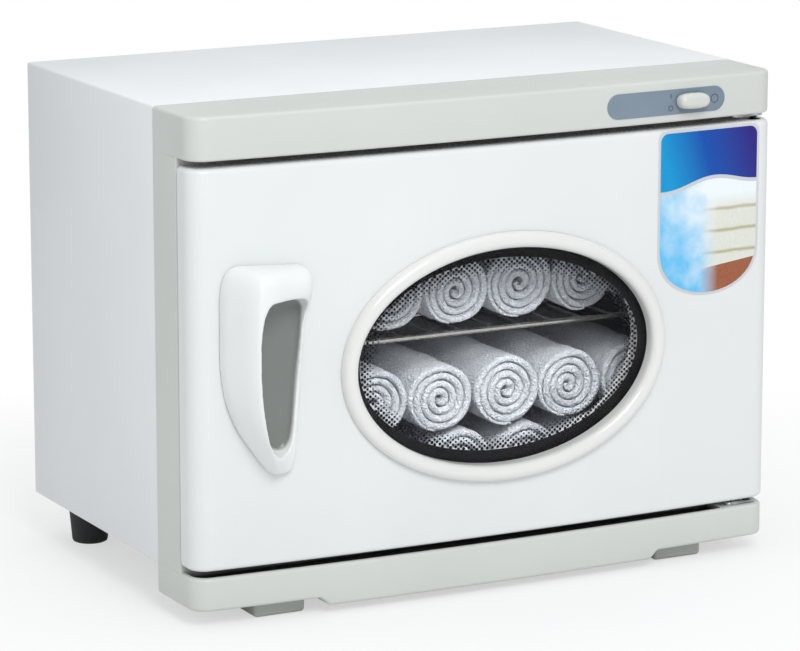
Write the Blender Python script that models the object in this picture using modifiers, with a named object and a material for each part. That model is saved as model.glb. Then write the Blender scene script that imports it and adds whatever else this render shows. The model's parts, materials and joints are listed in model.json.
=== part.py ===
"""Hot towel cabinet: a heated steel case with a bowed front moulding, a window door and a wire shelf.

Metres, +Z up. The front faces -Y. The origin is on the table, under the middle of the cabinet.
Sizes below are measured from the plane where the steel case meets the front moulding (y = 0 there).
"""

import math

import bmesh
import bpy
from mathutils import Matrix, Vector

# Overall case
CASE_WIDTH = 0.450
CASE_DEPTH = 0.218
CASE_BOTTOM = 0.0325
CASE_TOP = 0.347
SHEET = 0.0012
GAP = 0.0003

# Front moulding and the bowed front that moulding and door share
STRIP_DEPTH = 0.036
CORNER_REACH = 0.059
BOW = 0.007
CORNER_RADIUS = 0.013
FASCIA_HEIGHT = 0.0298
BASE_TOP = 0.035
BASE_END_BOTTOM = 0.012
BASE_MIDDLE_BOTTOM = 0.006
BASE_MIDDLE_HALF = 0.1265
MOULDING_WALL = 0.003
LIP_REACH = 0.008

# Chamber
CHAMBER_WIDTH = 0.376
CHAMBER_DEPTH = 0.235
CHAMBER_FLOOR = 0.050
CHAMBER_HEIGHT = 0.256
LINER_WALL = 0.001
LINER_FLANGE = 0.008
INSULATION_GAP = 0.0008
INSULATION_FRONT = 0.012
REAR_INSULATION = 0.007

# Shelf
SHELF_HEIGHT = 0.125
SHELF_SIDE_CLEARANCE = 0.002
SHELF_FRONT_CLEARANCE = 0.014
SHELF_REAR_CLEARANCE = 0.003
SHELF_WIRE = 0.0019
SHELF_CROSS_WIRE = 0.0012
SHELF_WIRES = 15
SHELF_EDGE_PITCH = 0.020
RAIL_WIDTH = 0.010
RAIL_THICKNESS = 0.0015
RAIL_INSET = 0.012

# Door
DOOR_GAP_TOP = 0.0047
DOOR_GAP_BOTTOM = 0.0045
DOOR_BACK_GAP = 0.002
DOOR_WALL = 0.0025
DOOR_EDGE = 0.003
PANEL_THICKNESS = 0.0022
PANEL_STOP = 0.004
HINGE_INSET = 0.012
HINGE_ROUND = 0.0085
GASKET_WIDTH = 0.0045
GASKET_INSET = 0.0008

# Window, an oval
WINDOW_X = 0.008
WINDOW_Z = 0.166
WINDOW_HALF_WIDTH = 0.1145
WINDOW_HALF_HEIGHT = 0.0754
BEZEL_WIDTH = 0.0114
BEZEL_PROUD = 0.0068
BEZEL_SLEEVE = 0.0062
GLASS_THICKNESS = 0.003
GLASS_LAP = 0.004
SLEEVE_WALL = 0.0045

# Handle
HANDLE_PROUD = 0.032
HANDLE_WALL = 0.004
HANDLE_LEFT = -0.206
POCKET_FLOOR = 0.0025

# Hinge pins, bushes and brackets
PIN_RADIUS = 0.0025
PIN_HEAD = 0.0045
PIN_GRIP = 0.011
BUSH_WALL = 0.0022
BUSH_LENGTH = 0.012
RUNNING_CLEARANCE = 0.0003
BRACKET_THICKNESS = 0.0017
BRACKET_HALF = 0.0085

# Catches
MAGNET_SIZE = (0.008, 0.007, 0.028)
MAGNET_X = -0.209
MAGNET_HEIGHTS = (0.105, 0.245)
STRIKE_THICKNESS = 0.001

# Control plate and rocker switch
PLATE_X = 0.134
PLATE_WIDTH = 0.096
PLATE_HEIGHT = 0.0175
PLATE_THICKNESS = 0.001
SWITCH_X = 0.153
SWITCH_BODY = (0.0184, 0.021, 0.0088)
SWITCH_WELL = (0.0146, 0.007, 0.0070)
ROCKER_WIDTH = 0.024
ROCKER_HEIGHT = 0.0115
ROCKER_PROUD = 0.0085
ROCKER_NECK = (0.0110, 0.0058, 0.0040)
ROCKER_STAND_OFF = 0.0016
ROCKER_TILT = 6.0

# Feet
FRONT_FOOT = (0.038, 0.040)
FRONT_FOOT_X = 0.157
FRONT_FOOT_FRONT = -0.049
FRONT_FOOT_EDGE = 0.0025
REAR_FOOT_X = 0.195
REAR_FOOT_Y = 0.188
REAR_FOOT_TOP = 0.016
REAR_FOOT_BOTTOM = 0.013
FOOT_RECESS = 0.0062
FOOT_RECESS_DEPTH = 0.010

# Screws and the cable gland
SCREW_RADIUS = 0.0018
SCREW_HEAD = 0.0036
SCREW_HEAD_HEIGHT = 0.0020
PANEL_SCREW_HEAD = 0.0012
BACK_INSET = 0.0003
BACK_LIP = 0.012
GLAND_RADIUS = 0.009
GLAND_BORE = 0.0038
GLAND_PROUD = 0.009
GLAND_X = -0.150
GLAND_Z = 0.062
VENT_SLOTS = 9
VENT_PITCH = 0.010
VENT_SLOT = (0.004, 0.036)

# Heater parts under the chamber
HEATER_SIZE = (0.300, 0.160, 0.0022)
THERMOSTAT_RADIUS = 0.008
THERMOSTAT_HEIGHT = 0.0070
FUSE_RADIUS = 0.0028
FUSE_LENGTH = 0.016
TERMINAL_SIZE = (0.040, 0.016, 0.010)

# Worked out from the sizes above
HALF = CASE_WIDTH / 2
FASCIA_BOTTOM = CASE_TOP - FASCIA_HEIGHT
DOOR_TOP = FASCIA_BOTTOM - DOOR_GAP_TOP
DOOR_BOTTOM = BASE_TOP + DOOR_GAP_BOTTOM
DOOR_BACK = -(STRIP_DEPTH + DOOR_BACK_GAP)
CHAMBER_HALF = CHAMBER_WIDTH / 2
CHAMBER_TOP = CHAMBER_FLOOR + CHAMBER_HEIGHT
LINER_FRONT = -STRIP_DEPTH + MOULDING_WALL + GAP
LINER_BACK = -STRIP_DEPTH + CHAMBER_DEPTH
BOW_RADIUS = (HALF**2 + BOW**2) / (2 * BOW)
BOW_CENTRE = BOW_RADIUS - CORNER_REACH - BOW
HINGE_X = HALF - HINGE_INSET
HINGE_Y = DOOR_BACK - HINGE_INSET
BUSH_RADIUS = PIN_RADIUS + RUNNING_CLEARANCE + BUSH_WALL
PLATE_Z = (FASCIA_BOTTOM + CASE_TOP) / 2 - 0.0006
BACK_FACE = CASE_DEPTH - BACK_INSET
GLAND_BACK = BACK_FACE + GLAND_PROUD


def front_face(x):
    """Where the bowed front lies at x."""
    return BOW_CENTRE - math.sqrt(BOW_RADIUS**2 - x * x)


HANDLE_CREST_X = HANDLE_LEFT + 0.016
HANDLE_FRONT = front_face(HANDLE_CREST_X) - HANDLE_PROUD
GLASS_FRONT = front_face(WINDOW_X + WINDOW_HALF_WIDTH + BEZEL_WIDTH) + DOOR_WALL + 0.001
GLASS_BACK = GLASS_FRONT + GLASS_THICKNESS
CASE_FRONT_Y = -(HANDLE_FRONT + GLAND_BACK) / 2

for old in list(bpy.data.objects):
    bpy.data.objects.remove(old)

PARTS = bpy.data.collections.new("hot_towel_cabinet")
CUTTERS = bpy.data.collections.new("cutters")
for group in (PARTS, CUTTERS):
    bpy.context.scene.collection.children.link(group)


def finish(name, colour, roughness, metallic=0.0):
    """A plain surface for one kind of material."""
    made = bpy.data.materials.new(name)
    made.use_nodes = True
    shader = made.node_tree.nodes["Principled BSDF"]
    shader.inputs["Base Color"].default_value = (*colour, 1.0)
    shader.inputs["Roughness"].default_value = roughness
    shader.inputs["Metallic"].default_value = metallic
    return made


WHITE_PAINT = finish("white_painted_steel", (0.74, 0.76, 0.77), 0.4)
GREY_PLASTIC = finish("grey_moulded_plastic", (0.62, 0.64, 0.61), 0.45)
WHITE_PLASTIC = finish("white_moulded_plastic", (0.80, 0.82, 0.82), 0.3)
GLOSS_WHITE = finish("gloss_white_plastic", (0.85, 0.85, 0.82), 0.15)
PANEL_BLUE = finish("blue_grey_plate", (0.22, 0.32, 0.42), 0.4)
BLACK_PLASTIC = finish("black_plastic", (0.03, 0.03, 0.03), 0.5)
BLACK_RUBBER = finish("black_rubber", (0.02, 0.02, 0.02), 0.8)
GREY_RUBBER = finish("grey_rubber", (0.45, 0.48, 0.46), 0.7)
LINER_METAL = finish("brushed_aluminium", (0.75, 0.76, 0.77), 0.35, 1.0)
ZINC = finish("zinc_plated_steel", (0.62, 0.63, 0.65), 0.35, 1.0)
CHROME = finish("chrome_wire", (0.80, 0.80, 0.82), 0.12, 1.0)
GLASS = finish("window_glass", (0.90, 0.92, 0.92), 0.05)
WOOL = finish("glass_wool", (0.75, 0.70, 0.45), 0.95)
SILICONE = finish("orange_silicone", (0.70, 0.25, 0.08), 0.6)
CERAMIC = finish("cream_ceramic", (0.80, 0.76, 0.66), 0.5)


def frame_empty(name, place, parent=None):
    """An empty that pieces hang from."""
    empty = bpy.data.objects.new(name, None)
    empty.location = place
    empty.parent = parent
    PARTS.objects.link(empty)
    return empty


CASE = frame_empty("case_front_plane", (0.0, CASE_FRONT_Y, 0.0))
DOOR = frame_empty("door_hinge_axis", (HINGE_X, HINGE_Y, 0.0), CASE)
ROCKER_PIVOT = (SWITCH_X, front_face(SWITCH_X) - GAP, PLATE_Z)
ROCKER = frame_empty("rocker_axis", ROCKER_PIVOT, CASE)


def hang(piece, parent):
    """Hang a piece, modelled in case positions, from its moving or fixed parent."""
    piece.parent = parent
    if parent is not CASE:
        piece.matrix_parent_inverse = Matrix.Translation(-parent.location)


def add_mesh(name, shape, surface, parent=CASE):
    """Turn a bmesh into a piece, or into a cutter when it has no surface."""
    bmesh.ops.recalc_face_normals(shape, faces=shape.faces)
    mesh = bpy.data.meshes.new(name)
    shape.to_mesh(mesh)
    shape.free()
    piece = bpy.data.objects.new(name, mesh)
    if surface is None:
        piece.hide_render = True
        piece.display_type = "WIRE"
        CUTTERS.objects.link(piece)
    else:
        mesh.materials.append(surface)
        PARTS.objects.link(piece)
    hang(piece, parent)
    return piece


def box(name, low, high, surface=None, parent=CASE):
    """A block between two corners."""
    shape = bmesh.new()
    size = Vector(high) - Vector(low)
    middle = (Vector(high) + Vector(low)) / 2
    bmesh.ops.create_cube(shape, size=1.0, matrix=Matrix.LocRotScale(middle, None, size))
    return add_mesh(name, shape, surface, parent)


TURNS = {
    "X": Matrix(((0, 0, 1), (1, 0, 0), (0, 1, 0))).to_4x4(),
    "Y": Matrix(((1, 0, 0), (0, 0, -1), (0, 1, 0))).to_4x4(),
    "Z": Matrix.Identity(4),
}


def along(axis, distance):
    """A step of this length along an axis."""
    return Matrix.Translation([distance if name == axis else 0.0 for name in "XYZ"])


def cylinder(name, axis, middle, radius, length, surface=None, parent=CASE, end_radius=None, sides=32):
    """A round bar or cone about an axis, its first radius at the low end along X and Z."""
    shape = bmesh.new()
    turn = Matrix.Translation(middle) @ TURNS[axis]
    bmesh.ops.create_cone(
        shape,
        cap_ends=True,
        segments=sides,
        radius1=radius,
        radius2=radius if end_radius is None else end_radius,
        depth=length,
        matrix=turn,
    )
    return add_mesh(name, shape, surface, parent)


def slab(name, outline, axis, low, high, surface=None, parent=CASE):
    """A flat outline with a thickness along an axis: (x, y) for Z, (x, z) for Y, (y, z) for X."""
    curve = bpy.data.curves.new(name, "CURVE")
    curve.dimensions = "2D"
    curve.fill_mode = "BOTH"
    curve.extrude = (high - low) / 2
    spline = curve.splines.new("POLY")
    spline.points.add(len(outline) - 1)
    for point, (u, v) in zip(spline.points, outline):
        point.co = (u, v, 0.0, 1.0)
    spline.use_cyclic_u = True
    holder = bpy.data.objects.new(name, curve)
    PARTS.objects.link(holder)
    depsgraph = bpy.context.evaluated_depsgraph_get()
    mesh = bpy.data.meshes.new_from_object(holder.evaluated_get(depsgraph))
    bpy.data.objects.remove(holder)
    shape = bmesh.new()
    shape.from_mesh(mesh)
    bmesh.ops.remove_doubles(shape, verts=shape.verts, dist=1e-6)
    bmesh.ops.dissolve_limit(shape, angle_limit=5e-4, verts=shape.verts, edges=shape.edges)
    bmesh.ops.transform(shape, matrix=along(axis, (low + high) / 2) @ TURNS[axis], verts=shape.verts)
    return add_mesh(name, shape, surface, parent)


def skin_of(rings, closed):
    """A loft through rings of points, capped at its ends unless it closes on itself."""
    shape = bmesh.new()
    rows = [[shape.verts.new(point) for point in ring] for ring in rings]
    pairs = list(zip(rows, rows[1:] + rows[:1] if closed else rows[1:]))
    for first, second in pairs:
        for index in range(len(first)):
            after = (index + 1) % len(first)
            shape.faces.new((first[index], first[after], second[after], second[index]))
    if not closed:
        shape.faces.new(rows[0])
        shape.faces.new(rows[-1])
    return shape


def combine(piece, other, operation):
    """Cut, join or cross a piece with another."""
    modifier = piece.modifiers.new(other.name, "BOOLEAN")
    modifier.operation = operation
    modifier.solver = "EXACT"
    modifier.object = other


def cut(piece, *cutters):
    """Take shapes out of a piece."""
    for cutter in cutters:
        combine(piece, cutter, "DIFFERENCE")


def join(piece, *others):
    """Make shapes one with a piece."""
    for other in others:
        combine(piece, other, "UNION")


def round_edges(piece, width, segments=2, angle=35.0):
    """Round a piece's sharp edges."""
    bevel = piece.modifiers.new("rounded_edges", "BEVEL")
    bevel.width = width
    bevel.segments = segments
    bevel.limit_method = "ANGLE"
    bevel.angle_limit = math.radians(angle)


def arc(centre, radius, start, end, steps):
    """Points on an arc, angles in degrees."""
    points = []
    for step in range(steps + 1):
        angle = math.radians(start + (end - start) * step / steps)
        points.append((centre[0] + radius * math.cos(angle), centre[1] + radius * math.sin(angle)))
    return points


def front_plan(inset, back, hinge_side_round=0.0):
    """The plan of the bowed front, set in from its outside by inset, as far back as back."""
    half = HALF - inset
    bow = BOW_RADIUS - inset
    corner = max(CORNER_RADIUS - inset, 0.0005)
    corner_x = half - corner
    corner_y = BOW_CENTRE - math.sqrt((bow - corner) ** 2 - corner_x**2)
    lean = math.asin(corner_x / (bow - corner))
    turn = math.degrees(lean)
    points = [(-half, back)]
    points += arc((-corner_x, corner_y), corner, 180.0, 270.0 - turn, 6)
    for step in range(1, 20):
        angle = lean * (step / 10 - 1)
        points.append((bow * math.sin(angle), BOW_CENTRE - bow * math.cos(angle)))
    points += arc((corner_x, corner_y), corner, turn - 90.0, 0.0, 6)
    rounding = min(hinge_side_round, back - corner_y - 0.0001)
    if rounding > 0.001:
        points += arc((half - rounding, back - rounding), rounding, 0.0, 90.0, 6)
    else:
        points.append((half, back))
    return points


def bow_band(low_x, high_x, outer, inner):
    """A strip of plan that follows the bowed front, from outer in front of it to inner behind it."""
    edge = []
    for reach in (outer, -inner):
        row = []
        for step in range(9):
            x = low_x + (high_x - low_x) * step / 8
            row.append((x, front_face(x) - reach))
        edge.append(row)
    return edge[0] + edge[1][::-1]


def pill(middle, width, height):
    """An outline with two half-round ends."""
    radius = height / 2
    reach = width / 2 - radius
    right = arc((middle[0] + reach, middle[1]), radius, -90.0, 90.0, 10)
    left = arc((middle[0] - reach, middle[1]), radius, 90.0, 270.0, 10)
    return right + left


def oval(outset, steps=56):
    """The window's oval, grown evenly outwards by outset."""
    points = []
    for step in range(steps):
        angle = 2 * math.pi * step / steps
        across = WINDOW_HALF_WIDTH * math.cos(angle)
        up = WINDOW_HALF_HEIGHT * math.sin(angle)
        normal = Vector((WINDOW_HALF_HEIGHT * math.cos(angle), WINDOW_HALF_WIDTH * math.sin(angle)))
        normal.normalize()
        points.append((WINDOW_X + across + outset * normal.x, WINDOW_Z + up + outset * normal.y))
    return points


def hole(name, axis, middle, radius, length, parent=CASE):
    """A round cutter."""
    return cylinder(name, axis, middle, radius, length, None, parent, sides=24)


def front_surround():
    """The grey moulding round the front: fascia, side strips and base in one, hollow from behind."""
    back_reach = LIP_REACH + 0.002
    wall = MOULDING_WALL
    piece = slab("front_surround", front_plan(0.0, 0.0), "Z", BASE_MIDDLE_BOTTOM, CASE_TOP, GREY_PLASTIC)
    far = CORNER_REACH + BOW + 0.01
    bay = box(
        "door_bay",
        (-HALF - 0.01, -far, BASE_TOP),
        (HALF + 0.01, -STRIP_DEPTH, FASCIA_BOTTOM),
    )
    cut(piece, bay)
    drop = BASE_END_BOTTOM - BASE_MIDDLE_BOTTOM
    for side, sign in (("left", -1), ("right", 1)):
        notch = [
            (sign * (BASE_MIDDLE_HALF - drop), BASE_MIDDLE_BOTTOM - drop),
            (sign * (BASE_MIDDLE_HALF + drop), BASE_END_BOTTOM),
            (sign * (HALF + 0.01), BASE_END_BOTTOM),
            (sign * (HALF + 0.01), BASE_MIDDLE_BOTTOM - drop),
        ]
        cut(piece, slab(f"base_notch_{side}", notch, "Y", -far, 0.01))
    lip_side = HALF - SHEET - GAP
    lip = box(
        "locating_lip",
        (-lip_side, -0.010, CASE_BOTTOM + SHEET + GAP),
        (lip_side, LIP_REACH, CASE_TOP - SHEET - GAP),
    )
    join(piece, lip)
    inner_half = HALF - wall
    pockets = (
        box(
            "strip_pocket",
            (-inner_half, -STRIP_DEPTH + wall, BASE_END_BOTTOM + wall),
            (inner_half, back_reach, CASE_TOP - wall),
        ),
        slab("fascia_pocket", front_plan(wall, 0.002), "Z", FASCIA_BOTTOM + wall, CASE_TOP - wall),
        slab("base_pocket", front_plan(wall, 0.002), "Z", BASE_END_BOTTOM + wall, BASE_TOP - wall),
        box(
            "keel_pocket",
            (-BASE_MIDDLE_HALF, -CORNER_REACH - BOW + 2 * wall, BASE_MIDDLE_BOTTOM + wall),
            (BASE_MIDDLE_HALF, back_reach, BASE_END_BOTTOM + 2 * wall),
        ),
    )
    cut(piece, *pockets)
    mouth = box(
        "mouth",
        (-CHAMBER_HALF, -STRIP_DEPTH - 0.01, CHAMBER_FLOOR),
        (CHAMBER_HALF, LINER_FRONT + 0.01, CHAMBER_TOP),
    )
    cut(piece, mouth)
    for index, height in enumerate(MAGNET_HEIGHTS):
        cut(piece, magnet_block(f"magnet_hole_{index}", height, GAP))
    edges = (
        PLATE_X - PLATE_WIDTH / 2 - 0.002,
        PLATE_X + PLATE_WIDTH / 2 + 0.002,
    )
    recess = slab(
        "plate_recess",
        bow_band(*edges, 0.004, PLATE_THICKNESS),
        "Z",
        PLATE_Z - PLATE_HEIGHT,
        PLATE_Z + PLATE_HEIGHT,
    )
    outline = pill((PLATE_X, PLATE_Z), PLATE_WIDTH + 2 * GAP, PLATE_HEIGHT + 2 * GAP)
    face = slab("recess_outline", outline, "Y", -CORNER_REACH - BOW - 0.01, -CORNER_REACH + 0.01)
    combine(recess, face, "INTERSECT")
    cut(piece, recess, switch_block("switch_hole_surround", GAP))
    for end, level in (("upper", FASCIA_BOTTOM), ("lower", BASE_TOP)):
        place = (HINGE_X, HINGE_Y, level)
        cut(piece, hole(f"pin_hole_{end}", "Z", place, PIN_RADIUS + GAP, 4 * wall))
        place = (*bracket_screw_place(), level)
        cut(piece, hole(f"bracket_hole_{end}", "Z", place, SCREW_RADIUS + GAP, 4 * wall))


def magnet_block(name, height, grow, surface=None):
    """A catch magnet, or the hole that holds it."""
    across, deep, tall = MAGNET_SIZE
    front = -STRIP_DEPTH - 0.0001 - grow * 10
    low = (MAGNET_X - across / 2 - grow, front, height - tall / 2 - grow)
    high = (MAGNET_X + across / 2 + grow, -STRIP_DEPTH + deep, height + tall / 2 + grow)
    return box(name, low, high, surface)


def switch_block(name, grow, surface=None):
    """The switch's housing, or the hole that it goes through."""
    across, deep, tall = SWITCH_BODY
    front = front_face(SWITCH_X) + 0.0002 - 20 * grow
    low = (SWITCH_X - across / 2 - grow, front, PLATE_Z - tall / 2 - grow)
    high = (SWITCH_X + across / 2 + grow, front + deep + 20 * grow, PLATE_Z + tall / 2 + grow)
    return box(name, low, high, surface)


def steel_case():
    """The wrap, its floor and its back."""
    inner = HALF - SHEET
    shell = box("outer_shell", (-HALF, GAP, CASE_BOTTOM), (HALF, CASE_DEPTH, CASE_TOP), WHITE_PAINT)
    round_edges(shell, 0.0015, 2)
    lip_front = BACK_FACE - 2 * SHEET - GAP
    hollow = box("case_hollow", (-inner, -0.01, CASE_BOTTOM - 0.01), (inner, lip_front, CASE_TOP - SHEET))
    mouth_side = inner - BACK_LIP
    rear = box(
        "rear_opening",
        (-mouth_side, lip_front - 0.01, CASE_BOTTOM - 0.01),
        (mouth_side, CASE_DEPTH + 0.01, CASE_TOP - SHEET - BACK_LIP),
    )
    panel_seat = box(
        "back_seat",
        (-inner, BACK_FACE - SHEET - GAP, CASE_BOTTOM - 0.01),
        (inner, CASE_DEPTH + 0.01, CASE_TOP - SHEET),
    )
    cut(shell, hollow, rear, panel_seat)
    back = box(
        "back_panel",
        (-inner + GAP, BACK_FACE - SHEET, CASE_BOTTOM),
        (inner - GAP, BACK_FACE, CASE_TOP - SHEET - GAP),
        WHITE_PAINT,
    )
    cut(back, hole("gland_hole", "Y", (GLAND_X, BACK_FACE, GLAND_Z), GLAND_RADIUS - 0.002, 0.02))
    across, tall = VENT_SLOT
    for index in range(VENT_SLOTS):
        middle = (0.10 + VENT_PITCH * (index - (VENT_SLOTS - 1) / 2), 0.075)
        outline = [(u + middle[0], v + middle[1]) for v, u in pill((0.0, 0.0), tall, across)]
        cut(back, slab(f"vent_slot_{index}", outline, "Y", BACK_FACE - 0.01, BACK_FACE + 0.01))
    floor = box(
        "bottom_panel",
        (-inner + GAP, LIP_REACH + GAP, CASE_BOTTOM),
        (inner - GAP, lip_front - GAP, CASE_BOTTOM + 0.012),
        WHITE_PAINT,
    )
    side = inner - GAP - SHEET
    cut(floor, box("floor_tray", (-side, -0.01, CASE_BOTTOM + SHEET), (side, lip_front + 0.01, 0.1)))
    low, high = CASE_BOTTOM + 0.045, CASE_TOP - SHEET - BACK_LIP / 2
    reach = inner - BACK_LIP / 2
    for name, x, z in (
        ("back_screw_lower_left", -reach, low),
        ("back_screw_lower_right", reach, low),
        ("back_screw_upper_left", -reach, high),
        ("back_screw_upper_right", reach, high),
    ):
        for piece in (shell, back):
            clear = hole(f"{name}_{piece.name}", "Y", (x, BACK_FACE, z), SCREW_RADIUS + GAP, 0.03)
            cut(piece, clear)
        screw(name, "Y", (x, BACK_FACE + GAP, z), 1, 0.008)
    for side_name, sign in (("left", -1), ("right", 1)):
        place = (sign * REAR_FOOT_X, REAR_FOOT_Y, CASE_BOTTOM)
        cut(floor, hole(f"foot_hole_{side_name}", "Z", place, SCREW_RADIUS + GAP, 0.02))


def screw(name, axis, seat, sign, length, parent=CASE, head_height=SCREW_HEAD_HEIGHT):
    """A pan-head screw whose head stands out along sign from its seat."""
    index = "XYZ".index(axis)
    head_middle = list(seat)
    head_middle[index] += sign * head_height / 2
    piece = cylinder(name, axis, head_middle, SCREW_HEAD, head_height, ZINC, parent, sides=20)
    round_edges(piece, 0.3 * head_height, 1)
    shank_middle = list(seat)
    shank_middle[index] -= sign * (length / 2 - head_height / 4)
    shank_length = length + head_height / 2
    join(piece, cylinder(f"{name}_shank", axis, shank_middle, SCREW_RADIUS, shank_length, sides=16, parent=parent))
    slot = [0.0004, 0.0004, 0.0004]
    for other in range(3):
        if other != index:
            slot[other] = SCREW_HEAD * 0.62
    slot[index] = 0.45 * head_height
    for turn in range(2):
        across = [axis_index for axis_index in range(3) if axis_index != index][turn]
        size = list(slot)
        size[across] = 0.0004
        top = list(seat)
        top[index] += sign * head_height
        low = [top[i] - size[i] for i in range(3)]
        high = [top[i] + size[i] for i in range(3)]
        cut(piece, box(f"{name}_cross_{turn}", low, high, parent=parent))
    return piece


def chamber():
    """The metal liner, its insulation and the heater parts under it."""
    wall = LINER_WALL
    outer_half = CHAMBER_HALF + wall
    liner = box(
        "inner_liner",
        (-outer_half, LINER_FRONT, CHAMBER_FLOOR - wall),
        (outer_half, LINER_BACK + wall, CHAMBER_TOP + wall),
        LINER_METAL,
    )
    reach = LINER_FLANGE
    flange = box(
        "liner_flange",
        (-outer_half - reach, LINER_FRONT, CHAMBER_FLOOR - wall - reach),
        (outer_half + reach, LINER_FRONT + wall, CHAMBER_TOP + wall + reach),
    )
    join(liner, flange)
    hollow = box(
        "chamber_space",
        (-CHAMBER_HALF, LINER_FRONT - 0.01, CHAMBER_FLOOR),
        (CHAMBER_HALF, LINER_BACK, CHAMBER_TOP),
    )
    cut(liner, hollow)
    clear = INSULATION_GAP
    outside = HALF - SHEET - clear
    inside = outer_half + clear
    top_out = CASE_TOP - SHEET - clear
    top_in = CHAMBER_TOP + wall + clear
    bottom = CASE_BOTTOM + 0.016
    arch = [
        (-outside, bottom),
        (-outside, top_out),
        (outside, top_out),
        (outside, bottom),
        (inside, bottom),
        (inside, top_in),
        (-inside, top_in),
        (-inside, bottom),
    ]
    slab("insulation_wrap", arch, "Y", INSULATION_FRONT, LINER_BACK - 0.002, WOOL)
    rear = LINER_BACK + wall + GAP
    box(
        "rear_insulation",
        (-CHAMBER_HALF + 0.02, rear, CHAMBER_FLOOR + 0.035),
        (CHAMBER_HALF - 0.02, rear + REAR_INSULATION, CHAMBER_TOP - 0.01),
        WOOL,
    )
    across, deep, thick = HEATER_SIZE
    middle = (LINER_FRONT + LINER_BACK) / 2
    top = CHAMBER_FLOOR - wall - GAP
    box(
        "heater_pad",
        (-across / 2, middle - deep / 2, top - thick),
        (across / 2, middle + deep / 2, top),
        SILICONE,
    )
    under = top - thick - GAP
    cylinder(
        "thermostat",
        "Z",
        (0.06, middle, under - THERMOSTAT_HEIGHT / 2),
        THERMOSTAT_RADIUS,
        THERMOSTAT_HEIGHT,
        CERAMIC,
    )
    cylinder("thermal_fuse", "X", (-0.05, middle, under - FUSE_RADIUS), FUSE_RADIUS, FUSE_LENGTH, ZINC, sides=20)
    wide, long, tall = TERMINAL_SIZE
    base = CASE_BOTTOM + SHEET + GAP
    rear_edge = LINER_BACK - 0.004
    block = box(
        "terminal_block",
        (-0.10 - wide / 2, rear_edge - long, base),
        (-0.10 + wide / 2, rear_edge, base + tall),
        CERAMIC,
    )
    for index in range(3):
        place = (-0.10 + 0.012 * (index - 1), rear_edge - long / 2, base + tall)
        cut(block, hole(f"terminal_well_{index}", "Z", place, 0.0028, 0.008))


def gland():
    """The strain relief that the mains lead comes through."""
    middle = BACK_FACE + GAP + (GLAND_PROUD - GAP) / 2
    piece = cylinder(
        "cable_gland",
        "Y",
        (GLAND_X, middle, GLAND_Z),
        GLAND_RADIUS - 0.0025,
        GLAND_PROUD - GAP,
        BLACK_PLASTIC,
        end_radius=GLAND_RADIUS,
    )
    neck_radius = GLAND_RADIUS - 0.002 - GAP
    neck = hole("gland_neck", "Y", (GLAND_X, BACK_FACE - 0.001, GLAND_Z), neck_radius, 0.008)
    join(piece, neck)
    cut(piece, hole("gland_bore", "Y", (GLAND_X, BACK_FACE, GLAND_Z), GLAND_BORE, 0.06))


def tube(name, points, radius, closed=False):
    """A wire along points, as a mesh."""
    curve = bpy.data.curves.new(name, "CURVE")
    curve.dimensions = "3D"
    curve.bevel_depth = radius
    curve.bevel_resolution = 2
    curve.use_fill_caps = True
    spline = curve.splines.new("POLY")
    spline.points.add(len(points) - 1)
    for point, place in zip(spline.points, points):
        point.co = (*place, 1.0)
    spline.use_cyclic_u = closed
    holder = bpy.data.objects.new(name, curve)
    PARTS.objects.link(holder)
    depsgraph = bpy.context.evaluated_depsgraph_get()
    mesh = bpy.data.meshes.new_from_object(holder.evaluated_get(depsgraph))
    bpy.data.objects.remove(holder)
    shape = bmesh.new()
    shape.from_mesh(mesh)
    bmesh.ops.remove_doubles(shape, verts=shape.verts, dist=1e-6)
    return shape


def shelf():
    """The wire shelf and the two ledges that carry it."""
    level = CHAMBER_FLOOR + SHELF_HEIGHT
    half = CHAMBER_HALF - SHELF_SIDE_CLEARANCE - SHELF_WIRE
    front = -STRIP_DEPTH + SHELF_FRONT_CLEARANCE + SHELF_WIRE
    back = LINER_BACK - SHELF_REAR_CLEARANCE - SHELF_WIRE
    corner = 0.012
    loop = []
    for centre_x, centre_y, start in (
        (half - corner, back - corner, 0.0),
        (-half + corner, back - corner, 90.0),
        (-half + corner, front + corner, 180.0),
        (half - corner, front + corner, 270.0),
    ):
        for x, y in arc((centre_x, centre_y), corner, start, start + 90.0, 4):
            loop.append((x, y, level))
    piece = add_mesh("wire_shelf", tube("shelf_loop", loop, SHELF_WIRE, True), CHROME)
    lift = level + SHELF_WIRE * 0.25
    reach = half - SHELF_EDGE_PITCH
    for index in range(SHELF_WIRES):
        x = reach * (2 * index / (SHELF_WIRES - 1) - 1)
        run = [(x, front, lift), (x, back, lift)]
        join(piece, add_mesh(f"shelf_wire_{index}", tube("run", run, SHELF_CROSS_WIRE), None))
    cross_level = lift - 1.6 * SHELF_CROSS_WIRE
    for index in range(2):
        y = front + (back - front) * (index + 1) / 3
        run = [(-reach - 0.0021, y, cross_level), (reach + 0.0021, y, cross_level)]
        join(piece, add_mesh(f"shelf_cross_{index}", tube("run", run, SHELF_CROSS_WIRE * 1.2), None))
    ledge_top = level - SHELF_WIRE - GAP
    for name, sign in (("shelf_rail_left", -1), ("shelf_rail_right", 1)):
        wall_x = sign * (CHAMBER_HALF - GAP)
        tip_x = sign * (CHAMBER_HALF - GAP - RAIL_WIDTH)
        upright_x = sign * (CHAMBER_HALF - GAP - RAIL_THICKNESS)
        angle = [
            (wall_x, ledge_top),
            (tip_x, ledge_top),
            (tip_x, ledge_top - RAIL_THICKNESS),
            (upright_x, ledge_top - RAIL_THICKNESS),
            (upright_x, ledge_top - RAIL_WIDTH),
            (wall_x, ledge_top - RAIL_WIDTH),
        ]
        slab(name, angle, "Y", LINER_FRONT + RAIL_INSET, LINER_BACK - RAIL_INSET, LINER_METAL)


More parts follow.
